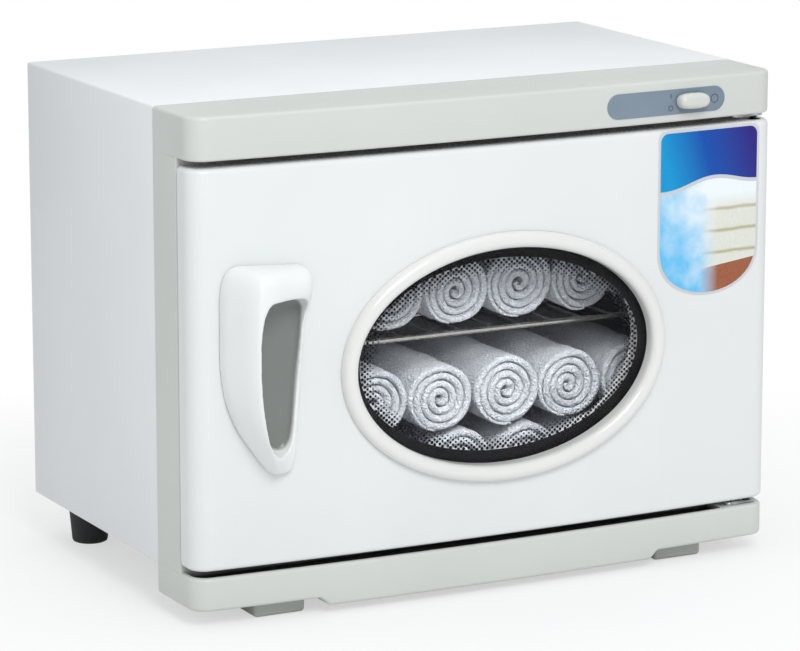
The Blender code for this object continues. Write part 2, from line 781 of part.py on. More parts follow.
def controls():
    """The blue plate, the switch's housing and its rocker."""
    edges = (PLATE_X - PLATE_WIDTH / 2 - 0.002, PLATE_X + PLATE_WIDTH / 2 + 0.002)
    band = bow_band(*edges, 0.0, PLATE_THICKNESS - GAP)
    plate = slab("control_plate", band, "Z", PLATE_Z - PLATE_HEIGHT, PLATE_Z + PLATE_HEIGHT, PANEL_BLUE)
    outline = pill((PLATE_X, PLATE_Z), PLATE_WIDTH, PLATE_HEIGHT)
    face = slab("plate_outline", outline, "Y", -CORNER_REACH - BOW - 0.01, -CORNER_REACH + 0.01)
    combine(plate, face, "INTERSECT")
    cut(plate, switch_block("switch_hole_plate", GAP))
    body = switch_block("switch_body", 0.0, BLACK_PLASTIC)
    across, deep, tall = SWITCH_WELL
    front = front_face(SWITCH_X)
    well = box(
        "switch_well",
        (SWITCH_X - across / 2, front - 0.01, PLATE_Z - tall / 2),
        (SWITCH_X + across / 2, front + deep, PLATE_Z + tall / 2),
    )
    cut(body, well)
    rocker()


def rocker():
    """The white rocker, tilted to off about its pivot."""
    across, deep, tall = ROCKER_NECK
    tilt = Matrix.Rotation(math.radians(-ROCKER_TILT), 4, "X")
    outline = pill((0.0, 0.0), ROCKER_WIDTH, ROCKER_HEIGHT)
    cap = slab("switch_rocker", outline, "Y", -ROCKER_STAND_OFF - ROCKER_PROUD, -ROCKER_STAND_OFF, GLOSS_WHITE)
    round_edges(cap, 0.0028, 3)
    neck = box("rocker_neck", (-across / 2, -ROCKER_STAND_OFF - 0.003, -tall / 2), (across / 2, deep, tall / 2))
    join(cap, neck)
    for piece in (cap, neck):
        piece.parent = ROCKER
        piece.matrix_parent_inverse = Matrix.Identity(4)
        piece.rotation_euler = tilt.to_euler()


def door_shell():
    """The white outer door, hollow from behind, with bosses for its screws and hinge bushes."""
    rings = []
    for end, level, sign in (("low", DOOR_BOTTOM, 1), ("high", DOOR_TOP, -1)):
        rounding = []
        for step in range(4):
            angle = math.radians(30.0 * step)
            inset = DOOR_EDGE * (1 - math.sin(angle))
            height = level + sign * DOOR_EDGE * (1 - math.cos(angle))
            rounding.append([(x, y, height) for x, y in front_plan(inset, DOOR_BACK, HINGE_ROUND - inset)])
        rings += rounding if sign > 0 else rounding[::-1]
    door = add_mesh("door_outer", skin_of(rings, False), WHITE_PLASTIC, DOOR)
    inner = front_plan(DOOR_WALL, DOOR_BACK - DOOR_WALL, HINGE_ROUND - DOOR_WALL)
    low, high = DOOR_BOTTOM + DOOR_WALL, DOOR_TOP - DOOR_WALL
    hollow = slab("door_hollow", inner, "Z", low, high, None, DOOR)
    back = box(
        "door_back_opening",
        (-HALF + DOOR_WALL, DOOR_BACK - 2 * DOOR_WALL, low),
        (HINGE_X - PANEL_STOP, DOOR_BACK + 0.01, high),
        None,
        DOOR,
    )
    cut(door, hollow, back)
    cut(door, slab("window_hole", oval(BEZEL_SLEEVE + GAP), "Y", -0.1, DOOR_BACK - 0.01, None, DOOR))
    for end, level, sign in (("upper", DOOR_TOP, -1), ("lower", DOOR_BOTTOM, 1)):
        middle = level + sign * (BUSH_LENGTH + DOOR_WALL) / 2
        place = (HINGE_X, HINGE_Y, middle)
        boss_radius = BUSH_RADIUS + GAP + 0.0025
        boss = hole(f"bush_boss_{end}", "Z", place, boss_radius, BUSH_LENGTH + DOOR_WALL - 0.001, DOOR)
        join(door, boss)
        seat = (HINGE_X, HINGE_Y, level + sign * BUSH_LENGTH / 2)
        cut(door, hole(f"bush_seat_{end}", "Z", seat, BUSH_RADIUS + GAP, BUSH_LENGTH + 2 * GAP, DOOR))
    front = front_face(0.0) + DOOR_WALL
    panel_front = DOOR_BACK - PANEL_THICKNESS - 2 * GAP
    for index, (x, z) in enumerate(panel_screws()):
        start = front_face(x) + DOOR_WALL / 2
        middle = (x, (start + panel_front) / 2, z)
        join(door, hole(f"panel_boss_{index}", "Y", middle, SCREW_RADIUS + 0.0025, panel_front - start, DOOR))
        bore = (x, panel_front, z)
        cut(door, hole(f"boss_bore_{index}", "Y", bore, SCREW_RADIUS + GAP, 0.024, DOOR))
    for index, (x, z) in enumerate(handle_screws()):
        cut(door, hole(f"handle_hole_{index}", "Y", (x, front, z), SCREW_RADIUS + GAP, 0.02, DOOR))


def panel_screws():
    """Where the screws through the inner panel go, as (x, z)."""
    side = CHAMBER_HALF + GASKET_INSET + GASKET_WIDTH + 2 * SCREW_HEAD
    high, low = DOOR_TOP - 0.024, DOOR_BOTTOM + 0.024
    return [(x, z) for x in (-side, side) for z in (low, high)]


def handle_screws():
    """Where the handle's two screws go, as (x, z)."""
    return [(-0.166, 0.233), (-0.163, 0.1145)]


def door_inside():
    """The panel that closes the door, its gasket, the strikes and the screws."""
    clear = DOOR_WALL + GAP
    panel = slab(
        "door_inner_panel",
        front_plan(clear, DOOR_BACK),
        "Z",
        DOOR_BOTTOM + clear,
        DOOR_TOP - clear,
        WHITE_PAINT,
        DOOR,
    )
    limit = box(
        "panel_limit",
        (-HALF, DOOR_BACK - PANEL_THICKNESS, 0.0),
        (HINGE_X - PANEL_STOP - GAP, DOOR_BACK, 1.0),
        None,
        DOOR,
    )
    combine(panel, limit, "INTERSECT")
    cut(panel, slab("panel_window", oval(0.0), "Y", -0.1, 0.0, None, DOOR))
    for index, (x, z) in enumerate(panel_screws()):
        sunk = hole(f"panel_hole_{index}", "Y", (x, DOOR_BACK, z), SCREW_RADIUS + GAP, 0.02, DOOR)
        cut(panel, sunk)
        side = "left" if x < 0 else "right"
        end = "lower" if z < CHAMBER_TOP / 2 else "upper"
        seat = (x, DOOR_BACK + GAP, z)
        screw(f"panel_screw_{end}_{side}", "Y", seat, 1, 0.009, DOOR, PANEL_SCREW_HEAD)
    near = GASKET_INSET
    outer = [(x, z) for x, z in rectangle(CHAMBER_HALF + near + GASKET_WIDTH, near + GASKET_WIDTH)]
    gasket = slab("door_gasket", outer, "Y", DOOR_BACK + GAP, -STRIP_DEPTH - GAP, GREY_RUBBER, DOOR)
    cut(gasket, slab("gasket_opening", rectangle(CHAMBER_HALF + near, near), "Y", -0.1, 0.0, None, DOOR))
    across, _, tall = MAGNET_SIZE
    for name, height in zip(("strike_plate_lower", "strike_plate_upper"), MAGNET_HEIGHTS):
        box(
            name,
            (MAGNET_X - across / 2 - 0.001, DOOR_BACK + GAP, height - tall / 2 - 0.001),
            (MAGNET_X + across / 2 + 0.001, DOOR_BACK + GAP + STRIKE_THICKNESS, height + tall / 2 + 0.001),
            ZINC,
            DOOR,
        )


def rectangle(half, grow):
    """An outline round the chamber's mouth with small round corners, as (x, z)."""
    corner = 0.004
    low, high = CHAMBER_FLOOR - grow, CHAMBER_TOP + grow
    points = []
    for x, z, start in (
        (half - corner, high - corner, 0.0),
        (-half + corner, high - corner, 90.0),
        (-half + corner, low + corner, 180.0),
        (half - corner, low + corner, 270.0),
    ):
        points += arc((x, z), corner, start, start + 90.0, 3)
    return points


def window():
    """The raised oval bezel, the glass and the sleeve that clamps it."""
    section = [
        (BEZEL_WIDTH, GAP),
        (BEZEL_WIDTH, 0.22 * BEZEL_PROUD),
        (0.94 * BEZEL_WIDTH, 0.55 * BEZEL_PROUD),
        (0.78 * BEZEL_WIDTH, 0.84 * BEZEL_PROUD),
        (0.55 * BEZEL_WIDTH, BEZEL_PROUD),
        (0.32 * BEZEL_WIDTH, 0.96 * BEZEL_PROUD),
        (0.12 * BEZEL_WIDTH, 0.70 * BEZEL_PROUD),
        (0.0, 0.25 * BEZEL_PROUD),
    ]
    columns = [oval(outset) for outset, _ in section]
    inner_back = oval(0.0)
    outer_back = oval(BEZEL_SLEEVE)
    sleeve_end = GLASS_FRONT - GAP
    rings = []
    for index in range(len(inner_back)):
        ring = []
        for column, (_, proud) in zip(columns, section):
            x, z = column[index]
            ring.append((x, front_face(x) - proud, z))
        x, z = inner_back[index]
        ring.append((x, sleeve_end, z))
        x, z = outer_back[index]
        ring.append((x, sleeve_end, z))
        ring.append((x, front_face(x) - GAP, z))
        rings.append(ring)
    add_mesh("window_bezel", skin_of(rings, True), GLOSS_WHITE, DOOR)
    slab("window_glass", oval(GLASS_LAP), "Y", GLASS_FRONT, GLASS_BACK, GLASS, DOOR)
    start = GLASS_BACK + GAP
    end = DOOR_BACK - PANEL_THICKNESS - GAP
    sleeve = slab("window_retainer", oval(SLEEVE_WALL), "Y", start, end, WHITE_PLASTIC, DOOR)
    cut(sleeve, slab("retainer_opening", oval(0.0012), "Y", -0.1, 0.0, None, DOOR))


def handle():
    """The pull: a wing that stands out from the door, over a pocket for the fingers."""
    # height, left edge, right edge, how far the wing and the low rim stand out
    stations = (
        (0.1030, -0.1670, -0.1590, 0.004, 0.003),
        (0.1045, -0.1720, -0.1550, 0.009, 0.005),
        (0.1100, -0.1770, -0.1530, 0.015, 0.006),
        (0.1200, -0.1840, -0.1517, 0.021, 0.006),
        (0.1360, -0.1940, -0.1502, 0.0265, 0.006),
        (0.1550, -0.2020, -0.1485, 0.0300, 0.006),
        (0.1750, -0.2055, -0.1468, HANDLE_PROUD, 0.006),
        (0.2000, HANDLE_LEFT, -0.1450, HANDLE_PROUD, 0.006),
        (0.2140, HANDLE_LEFT, -0.1438, HANDLE_PROUD, 0.008),
        (0.2220, HANDLE_LEFT, -0.1430, HANDLE_PROUD, 0.013),
        (0.2320, -0.2050, -0.1425, 0.0315, 0.016),
        (0.2400, -0.2030, -0.1430, 0.0290, 0.015),
        (0.2450, -0.1990, -0.1455, 0.0230, 0.011),
        (0.2470, -0.1940, -0.1500, 0.0140, 0.007),
    )
    rings = []
    for height, left, right, wing, rim in stations:
        span = right - left
        profile = (
            (0.0, GAP),
            (0.02, 0.35 * wing),
            (0.09, 0.75 * wing),
            (0.16, 0.94 * wing),
            (0.24, wing),
            (0.33, 0.97 * wing + 0.03 * rim),
            (0.60, 0.60 * wing + 0.40 * rim),
            (0.84, rim + 0.08 * (wing - rim)),
            (0.93, 0.92 * rim),
            (0.985, 0.62 * rim),
            (1.0, GAP),
            (0.75, GAP),
            (0.5, GAP),
            (0.25, GAP),
        )
        ring = []
        for share, proud in profile:
            x = left + share * span
            ring.append((x, front_face(x) - proud, height))
        rings.append(ring)
    pull = add_mesh("door_handle", skin_of(rings, False), WHITE_PLASTIC, DOOR)
    pocket = [
        (-0.1850, 0.2160),
        (-0.1820, 0.2215),
        (-0.1750, 0.2230),
        (-0.1545, 0.2230),
        (-0.1500, 0.2180),
        (-0.1505, 0.1900),
        (-0.1525, 0.1600),
        (-0.1560, 0.1320),
        (-0.1595, 0.1240),
        (-0.1640, 0.1205),
        (-0.1750, 0.1270),
        (-0.1805, 0.1420),
        (-0.1850, 0.1620),
        (-0.1870, 0.1850),
    ]
    floor = front_face(HANDLE_LEFT + 0.03) - POCKET_FLOOR
    cut(pull, slab("finger_pocket", pocket, "Y", HANDLE_FRONT - 0.01, floor, None, DOOR))
    for index, (name, (x, z)) in enumerate(zip(("handle_screw_upper", "handle_screw_lower"), handle_screws())):
        bore_end = front_face(x) - 0.0072
        middle = (x, bore_end / 2, z)
        cut(pull, hole(f"handle_bore_{index}", "Y", middle, SCREW_RADIUS + GAP, -bore_end, DOOR))
        seat = front_face(x) + DOOR_WALL + GAP
        screw(name, "Y", (x, seat, z), 1, 0.0085, DOOR)


def bracket_screw_place():
    """Where each hinge bracket's screw goes, in plan."""
    return (HINGE_X - 0.011, HINGE_Y + 0.001)


def hinges():
    """Two brackets and pins fixed to the moulding, and two bushes in the door."""
    screw_x, screw_y = bracket_screw_place()
    for end, level, sign, door_end in (
        ("upper", FASCIA_BOTTOM, -1, DOOR_TOP),
        ("lower", BASE_TOP, 1, DOOR_BOTTOM),
    ):
        face = level + sign * GAP
        outside = face + sign * BRACKET_THICKNESS
        outline = pill(((HINGE_X + screw_x) / 2 - 0.001, HINGE_Y), 0.026, 2 * BRACKET_HALF * 0.62)
        low, high = sorted((face, outside))
        plate = slab(f"{end}_hinge_bracket", outline, "Z", low, high, ZINC)
        cut(plate, hole(f"{end}_bracket_bore", "Z", (HINGE_X, HINGE_Y, level), PIN_RADIUS + GAP, 0.02))
        cut(plate, hole(f"{end}_bracket_screw_bore", "Z", (screw_x, screw_y, level), SCREW_RADIUS + GAP, 0.02))
        tip = door_end + sign * (PIN_GRIP - 0.001)
        head_low = level - sign * (MOULDING_WALL + GAP)
        shank = (HINGE_X, HINGE_Y, (tip + head_low) / 2)
        pin = cylinder(f"{end}_hinge_pin", "Z", shank, PIN_RADIUS, abs(tip - head_low), ZINC, sides=24)
        head = (HINGE_X, HINGE_Y, head_low - sign * 0.0009)
        join(pin, hole(f"{end}_pin_head", "Z", head, PIN_HEAD, 0.0020))
        seat = (HINGE_X, HINGE_Y, door_end + sign * (BUSH_LENGTH / 2 + GAP / 2))
        bush = cylinder(f"{end}_hinge_bush", "Z", seat, BUSH_RADIUS, BUSH_LENGTH - GAP, BLACK_PLASTIC, DOOR)
        bore = (HINGE_X, HINGE_Y, door_end + sign * (BUSH_LENGTH / 2 - 0.001))
        cut(bush, hole(f"{end}_bush_bore", "Z", bore, PIN_RADIUS + RUNNING_CLEARANCE, BUSH_LENGTH, DOOR))
        flat_seat = (screw_x, screw_y, outside + sign * GAP)
        small_screw(f"{end}_bracket_screw", flat_seat, sign)


def small_screw(name, seat, sign):
    """A thin-headed screw that fits in the gap above or below the door."""
    x, y, z = seat
    head = cylinder(name, "Z", (x, y, z + sign * 0.0004), 0.0032, 0.0008, ZINC, sides=20)
    shank = (x, y, z - sign * 0.0033)
    join(head, hole(f"{name}_shank", "Z", shank, SCREW_RADIUS, 0.0070))


def catches():
    """The magnets in the left strip that hold the door shut."""
    for name, height in zip(("magnet_catch_lower", "magnet_catch_upper"), MAGNET_HEIGHTS):
        magnet_block(name, height, 0.0, BLACK_PLASTIC)


def feet():
    """Two flat pads in front and two tapered rubber feet behind."""
    across, deep = FRONT_FOOT
    for side, sign in (("left", -1), ("right", 1)):
        x = sign * FRONT_FOOT_X
        pad = box(
            f"front_{side}_foot",
            (x - across / 2, FRONT_FOOT_FRONT, 0.0),
            (x + across / 2, FRONT_FOOT_FRONT + deep, BASE_END_BOTTOM - GAP),
            GREY_RUBBER,
        )
        round_edges(pad, FRONT_FOOT_EDGE, 2)
        top = CASE_BOTTOM - GAP
        x = sign * REAR_FOOT_X
        middle = (x, REAR_FOOT_Y, top / 2)
        foot = cylinder(
            f"rear_{side}_foot", "Z", middle, REAR_FOOT_BOTTOM, top, BLACK_RUBBER, end_radius=REAR_FOOT_TOP
        )
        round_edges(foot, 0.0015, 2)
        recess = (x, REAR_FOOT_Y, FOOT_RECESS_DEPTH / 2 - 0.005)
        cut(foot, hole(f"foot_recess_{side}", "Z", recess, FOOT_RECESS, FOOT_RECESS_DEPTH + 0.010))
        cut(foot, hole(f"foot_bore_{side}", "Z", (x, REAR_FOOT_Y, 0.03), SCREW_RADIUS + GAP, 0.06))
        seat = (x, REAR_FOOT_Y, FOOT_RECESS_DEPTH - GAP)
        screw(f"rear_{side}_foot_screw", "Z", seat, -1, top - FOOT_RECESS_DEPTH + 0.006)


front_surround()
steel_case()
chamber()
gland()
shelf()
controls()
door_shell()
door_inside()
window()
handle()
hinges()
catches()
feet()

for part in PARTS.objects:
    if part.type == "MESH":
        part.data.shade_smooth()
        part.data.set_sharp_from_angle(angle=math.radians(35.0))
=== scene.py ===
"""Fine shapes and finishes of a table-top hot towel cabinet, laid over its fixed frame."""

import json
import logging
import math
import random
from dataclasses import dataclass
from enum import Enum
from typing import Callable, Iterable, Sequence

import bmesh
import bpy
from mathutils import Matrix, Vector, noise


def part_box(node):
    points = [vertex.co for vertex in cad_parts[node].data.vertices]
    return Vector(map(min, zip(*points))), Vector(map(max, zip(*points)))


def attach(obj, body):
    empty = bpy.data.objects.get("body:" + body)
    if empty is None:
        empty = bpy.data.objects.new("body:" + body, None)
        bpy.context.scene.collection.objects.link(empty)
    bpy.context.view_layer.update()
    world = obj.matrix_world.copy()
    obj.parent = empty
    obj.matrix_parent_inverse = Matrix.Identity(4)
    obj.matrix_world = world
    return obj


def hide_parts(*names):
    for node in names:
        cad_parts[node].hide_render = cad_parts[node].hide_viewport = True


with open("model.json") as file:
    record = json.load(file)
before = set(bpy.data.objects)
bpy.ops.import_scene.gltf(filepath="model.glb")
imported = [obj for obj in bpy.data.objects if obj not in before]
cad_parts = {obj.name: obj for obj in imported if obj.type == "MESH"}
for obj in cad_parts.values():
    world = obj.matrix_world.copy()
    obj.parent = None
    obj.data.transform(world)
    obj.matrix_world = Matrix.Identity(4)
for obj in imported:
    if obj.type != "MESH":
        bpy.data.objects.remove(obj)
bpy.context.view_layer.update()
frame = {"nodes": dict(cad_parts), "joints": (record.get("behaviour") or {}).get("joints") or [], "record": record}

LOG = logging.getLogger("hot_towel_cabinet")

Colour = tuple[float, float, float]
Section = list[Vector]

CABINET, DOOR, SHELF, ROCKER = "cabinet", "door", "shelf", "rocker"


class Axis(Enum):
    """The three ways a round or flat shape can face."""

    X = Vector((1.0, 0.0, 0.0))
    Y = Vector((0.0, 1.0, 0.0))
    Z = Vector((0.0, 0.0, 1.0))


# ---------------------------------------------------------------- the front's curve


@dataclass(frozen=True)
class FrontCurve:
    """The bowed front that the moulding and the door share, seen from above."""

    half: float
    joint: float
    corner_reach: float = 0.059
    bow: float = 0.007
    corner: float = 0.013

    @property
    def radius(self) -> float:
        """The bow's radius."""
        return (self.half**2 + self.bow**2) / (2 * self.bow)

    def face(self, x: float) -> float:
        """Where the front lies at x.

        Args:
            x: Distance across from the middle.

        Returns:
            The front's place along Y.
        """
        centre = self.joint + self.radius - self.corner_reach - self.bow
        return centre - math.sqrt(self.radius**2 - x * x)


SHELL_LOW, SHELL_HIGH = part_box("outer_shell")
FRONT_LOW, FRONT_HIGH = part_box("front_surround")
DOOR_LOW, DOOR_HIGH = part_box("door_outer")
JOINT = SHELL_LOW.y - 0.0003
CURVE = FrontCurve(half=SHELL_HIGH.x, joint=JOINT)


# ---------------------------------------------------------------- mesh helpers


def faces_of(geometry: Iterable[object]) -> list[bmesh.types.BMFace]:
    """Keep only the faces of an operator's result."""
    return [item for item in geometry if isinstance(item, bmesh.types.BMFace)]


def ring_edges(shape: bmesh.types.BMesh, points: Section) -> list[bmesh.types.BMEdge]:
    """Add one closed ring of edges.

    Args:
        shape: The mesh being made.
        points: The ring's points in order.

    Returns:
        The ring's edges.
    """
    verts = [shape.verts.new(point) for point in points]
    return [shape.edges.new((a, b)) for a, b in zip(verts, verts[1:] + verts[:1])]


def loft(rings: Sequence[Section], closed: bool = False) -> bmesh.types.BMesh:
    """Bridge rings of points into a skin.

    Args:
        rings: Rings with the same number of points.
        closed: Whether the last ring joins the first; if not, both ends are capped.

    Returns:
        The closed mesh.
    """
    shape = bmesh.new()
    rows = [ring_edges(shape, ring) for ring in rings]
    for first, second in zip(rows, rows[1:]):
        bmesh.ops.bridge_loops(shape, edges=first + second)
    if closed:
        bmesh.ops.bridge_loops(shape, edges=rows[-1] + rows[0])
    else:
        bmesh.ops.contextual_create(shape, geom=rows[0])
        bmesh.ops.contextual_create(shape, geom=rows[-1])
    bmesh.ops.recalc_face_normals(shape, faces=shape.faces)
    return shape


def block(low: Vector, high: Vector) -> bmesh.types.BMesh:
    """A plain block between two corners, as the start of a shape."""
    shape = bmesh.new()
    size = high - low
    bmesh.ops.create_cube(shape, size=1.0, matrix=Matrix.LocRotScale((low + high) / 2, None, size))
    return shape


def slice_at(shape: bmesh.types.BMesh, axis: Axis, places: Iterable[float]) -> None:
    """Cut a mesh's faces along planes across an axis.

    Args:
        shape: The mesh to cut.
        axis: The direction the planes face.
        places: Where the planes lie along it.
    """
    for place in places:
        geometry = list(shape.verts) + list(shape.edges) + list(shape.faces)
        bmesh.ops.bisect_plane(shape, geom=geometry, plane_co=axis.value * place, plane_no=axis.value)


def bevel_edges(shape: bmesh.types.BMesh, edges: Sequence[bmesh.types.BMEdge], width: float, steps: int) -> None:
    """Round some edges.

    Args:
        shape: The mesh.
        edges: The edges to round.
        width: The rounding's size.
        steps: How many segments it gets.
    """
    bmesh.ops.bevel(
        shape, geom=list(edges), offset=width, segments=steps, profile=0.5, affect="EDGES",
        material=-1, clamp_overlap=False,
    )


def sharp_edges(shape: bmesh.types.BMesh, degrees: float = 30.0) -> list[bmesh.types.BMEdge]:
    """The edges whose faces turn by more than an angle."""
    limit = math.radians(degrees)
    return [edge for edge in shape.edges if len(edge.link_faces) == 2 and edge.calc_face_angle(0.0) > limit]


def round_bar(shape: bmesh.types.BMesh, axis: Axis, middle: Vector, radius: float, length: float, sides: int) -> None:
    """Add a round bar to a mesh.

    Args:
        shape: The mesh to add to.
        axis: The bar's direction.
        middle: The bar's centre.
        radius: Its radius.
        length: Its length.
        sides: How many sides it gets.
    """
    turn = Axis.Z.value.rotation_difference(axis.value).to_matrix().to_4x4()
    bmesh.ops.create_cone(
        shape, cap_ends=True, segments=sides, radius1=radius, radius2=radius, depth=length,
        matrix=Matrix.Translation(middle) @ turn,
    )


def oval_points(outset: float, steps: int, y: float | None = None, lift: float = 0.0) -> Section:
    """The window's oval, grown evenly by outset.

    Args:
        outset: How far outside the oval the points lie.
        steps: How many points there are.
        y: The plane they lie in, or None to follow the bowed front.
        lift: How far in front of the bowed front they lie.

    Returns:
        The points in order.
    """
    points = []
    for step in range(steps):
        angle = 2 * math.pi * step / steps
        normal = Vector((WINDOW.half_height * math.cos(angle), WINDOW.half_width * math.sin(angle))).normalized()
        x = WINDOW.centre.x + WINDOW.half_width * math.cos(angle) + outset * normal.x
        z = WINDOW.centre.z + WINDOW.half_height * math.sin(angle) + outset * normal.y
        points.append(Vector((x, CURVE.face(x) - lift if y is None else y, z)))
    return points


@dataclass(frozen=True)
class Oval:
    """The window's place and size."""

    centre: Vector
    half_width: float
    half_height: float


BEZEL_WIDTH = 0.0114
BEZEL_LOW, BEZEL_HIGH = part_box("window_bezel")
WINDOW = Oval(
    centre=(BEZEL_LOW + BEZEL_HIGH) / 2,
    half_width=(BEZEL_HIGH.x - BEZEL_LOW.x) / 2 - BEZEL_WIDTH,
    half_height=(BEZEL_HIGH.z - BEZEL_LOW.z) / 2 - BEZEL_WIDTH,
)


def carve(piece: bpy.types.Object, shapes: Sequence[bmesh.types.BMesh]) -> None:
    """Cut shapes out of a piece and keep the result as its mesh.

    Args:
        piece: The piece to cut.
        shapes: Closed meshes, used up here.
    """
    cutters = []
    for index, shape in enumerate(shapes):
        bmesh.ops.recalc_face_normals(shape, faces=shape.faces)
        mesh = bpy.data.meshes.new(f"cut_{index}")
        shape.to_mesh(mesh)
        shape.free()
        cutter = bpy.data.objects.new(f"cut_{index}", mesh)
        bpy.context.scene.collection.objects.link(cutter)
        modifier = piece.modifiers.new(f"cut_{index}", "BOOLEAN")
        modifier.operation = "DIFFERENCE"
        modifier.solver = "EXACT"
        modifier.object = cutter
        cutters.append(cutter)
    keep_modifiers(piece)
    for cutter in cutters:
        bpy.data.objects.remove(cutter)


def keep_modifiers(piece: bpy.types.Object) -> None:
    """Make a piece's modified mesh its own mesh."""
    depsgraph = bpy.context.evaluated_depsgraph_get()
    mesh = bpy.data.meshes.new_from_object(piece.evaluated_get(depsgraph))
    piece.modifiers.clear()
    piece.data = mesh


def soften(piece: bpy.types.Object, degrees: float) -> None:
    """Shade a piece smooth, but for edges sharper than an angle."""
    piece.data.shade_smooth()
    piece.data.set_sharp_from_angle(angle=math.radians(degrees))


def add_piece(name: str, shape: bmesh.types.BMesh, material: bpy.types.Material, degrees: float = 35.0) -> bpy.types.Object:
    """Turn a mesh under construction into a finished piece.

    Args:
        name: The piece's name.
        shape: The mesh, used up here.
        material: Its finish.
        degrees: Edges sharper than this stay crisp.

    Returns:
        The new object, at the origin.
    """
    mesh = bpy.data.meshes.new(name)
    shape.to_mesh(mesh)
    shape.free()
    mesh.materials.append(material)
    piece = bpy.data.objects.new(name, mesh)
    bpy.context.scene.collection.objects.link(piece)
    soften(piece, degrees)
    return piece


def install(piece: bpy.types.Object, body: str, slot: str, *nodes: str) -> bpy.types.Object:
    """Set a piece on its body, in place of the nodes it stands for.

    Args:
        piece: The finished piece.
        body: The moving or fixed body it rides on.
        slot: The record's material slot; not used.
        nodes: CAD nodes that it replaces.

    Returns:
        The same piece.
    """
    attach(piece, body)
    if nodes:
        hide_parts(*nodes)
    LOG.info("%s rides on %s, %d faces", piece.name, body, len(piece.data.polygons))
    return piece


def smooth_copy(node: str, material: bpy.types.Material, degrees: float = 35.0) -> bpy.types.Object:
    """A merged, smoothly shaded copy of a CAD node, which it replaces.

    Args:
        node: The node's name.
        material: Its finish.
        degrees: Edges sharper than this stay crisp.

    Returns:
        The copy, riding on the node's body.
    """
    shape = bmesh.new()
    shape.from_mesh(frame["nodes"][node].data)
    bmesh.ops.remove_doubles(shape, verts=shape.verts, dist=2e-6)
    for layer in list(shape.loops.layers.uv.values()):
        shape.loops.layers.uv.remove(layer)
    piece = add_piece(f"{node}_finished", shape, material, degrees)
    if piece.data.has_custom_normals:
        piece.data.free_custom_normals() if hasattr(piece.data, "free_custom_normals") else None
    slots = {row["node"]: row["material_slot"] for row in frame["record"]["subparts"]}
    body = next(name for name, nodes in frame["record"]["behaviour"]["bodies"].items() if node in nodes)
    return install(piece, body, slots[node], node)


# ---------------------------------------------------------------- finishes


class NodeKit:
    """Short ways to add and link shader nodes in one tree."""

    def __init__(self, tree: bpy.types.NodeTree) -> None:
        """Keep the tree."""
        self.tree = tree

    def add(self, kind: str, **settings: object) -> bpy.types.Node:
        """Add a node and set its own options.

        Args:
            kind: The node's type name.
            settings: Its options by name.

        Returns:
            The node.
        """
        node = self.tree.nodes.new(kind)
        for name, value in settings.items():
            setattr(node, name, value)
        return node

    def link(self, source: bpy.types.NodeSocket, target: bpy.types.NodeSocket) -> None:
        """Join two sockets."""
        self.tree.links.new(source, target)

    def maths(self, operation: str, *values: object) -> bpy.types.NodeSocket:
        """A Math node.

        Args:
            operation: What it does.
            values: Numbers or sockets for its inputs.

        Returns:
            Its output.
        """
        node = self.add("ShaderNodeMath", operation=operation)
        for socket, value in zip(node.inputs, values):
            if isinstance(value, bpy.types.NodeSocket):
                self.link(value, socket)
            else:
                socket.default_value = value
        return node.outputs[0]

    def noise(self, vector: bpy.types.NodeSocket, scale: float, detail: float = 3.0) -> bpy.types.NodeSocket:
        """A Noise texture's value at a vector."""
        node = self.add("ShaderNodeTexNoise")
        node.inputs["Scale"].default_value = scale
        node.inputs["Detail"].default_value = detail
        self.link(vector, node.inputs["Vector"])
        return node.outputs["Fac"]

    def remap(self, value: bpy.types.NodeSocket, low: float, high: float, start: float, end: float) -> bpy.types.NodeSocket:
        """Map a value from low..high to start..end, clamped."""
        node = self.add("ShaderNodeMapRange")
        node.inputs["From Min"].default_value = low
        node.inputs["From Max"].default_value = high
        node.inputs["To Min"].default_value = start
        node.inputs["To Max"].default_value = end
        self.link(value, node.inputs["Value"])
        return node.outputs["Result"]

    def blend(self, factor: object, first: object, second: object) -> bpy.types.NodeSocket:
        """Mix two colours by a factor; each is a socket or a plain value."""
        node = self.add("ShaderNodeMix", data_type="RGBA")
        for socket, value in ((node.inputs[0], factor), (node.inputs[6], first), (node.inputs[7], second)):
            if isinstance(value, bpy.types.NodeSocket):
                self.link(value, socket)
            else:
                socket.default_value = value if socket is node.inputs[0] else (*value, 1.0)
        return node.outputs[2]


def group_frame(name: str, inputs: Sequence[tuple[str, str, float]], outputs: Sequence[tuple[str, str]]) -> tuple[NodeKit, bpy.types.Node, bpy.types.Node]:
    """Start a shader node group.

    Args:
        name: The group's name.
        inputs: Each input's name, socket type and default.
        outputs: Each output's name and socket type.

    Returns:
        A kit for its tree, its input node and its output node.
    """
    tree = bpy.data.node_groups.new(name, "ShaderNodeTree")
    for label, kind, default in inputs:
        socket = tree.interface.new_socket(name=label, in_out="INPUT", socket_type=kind)
        if kind == "NodeSocketFloat":
            socket.default_value = default
    for label, kind in outputs:
        tree.interface.new_socket(name=label, in_out="OUTPUT", socket_type=kind)
    kit = NodeKit(tree)
    return kit, kit.add("NodeGroupInput"), kit.add("NodeGroupOutput")


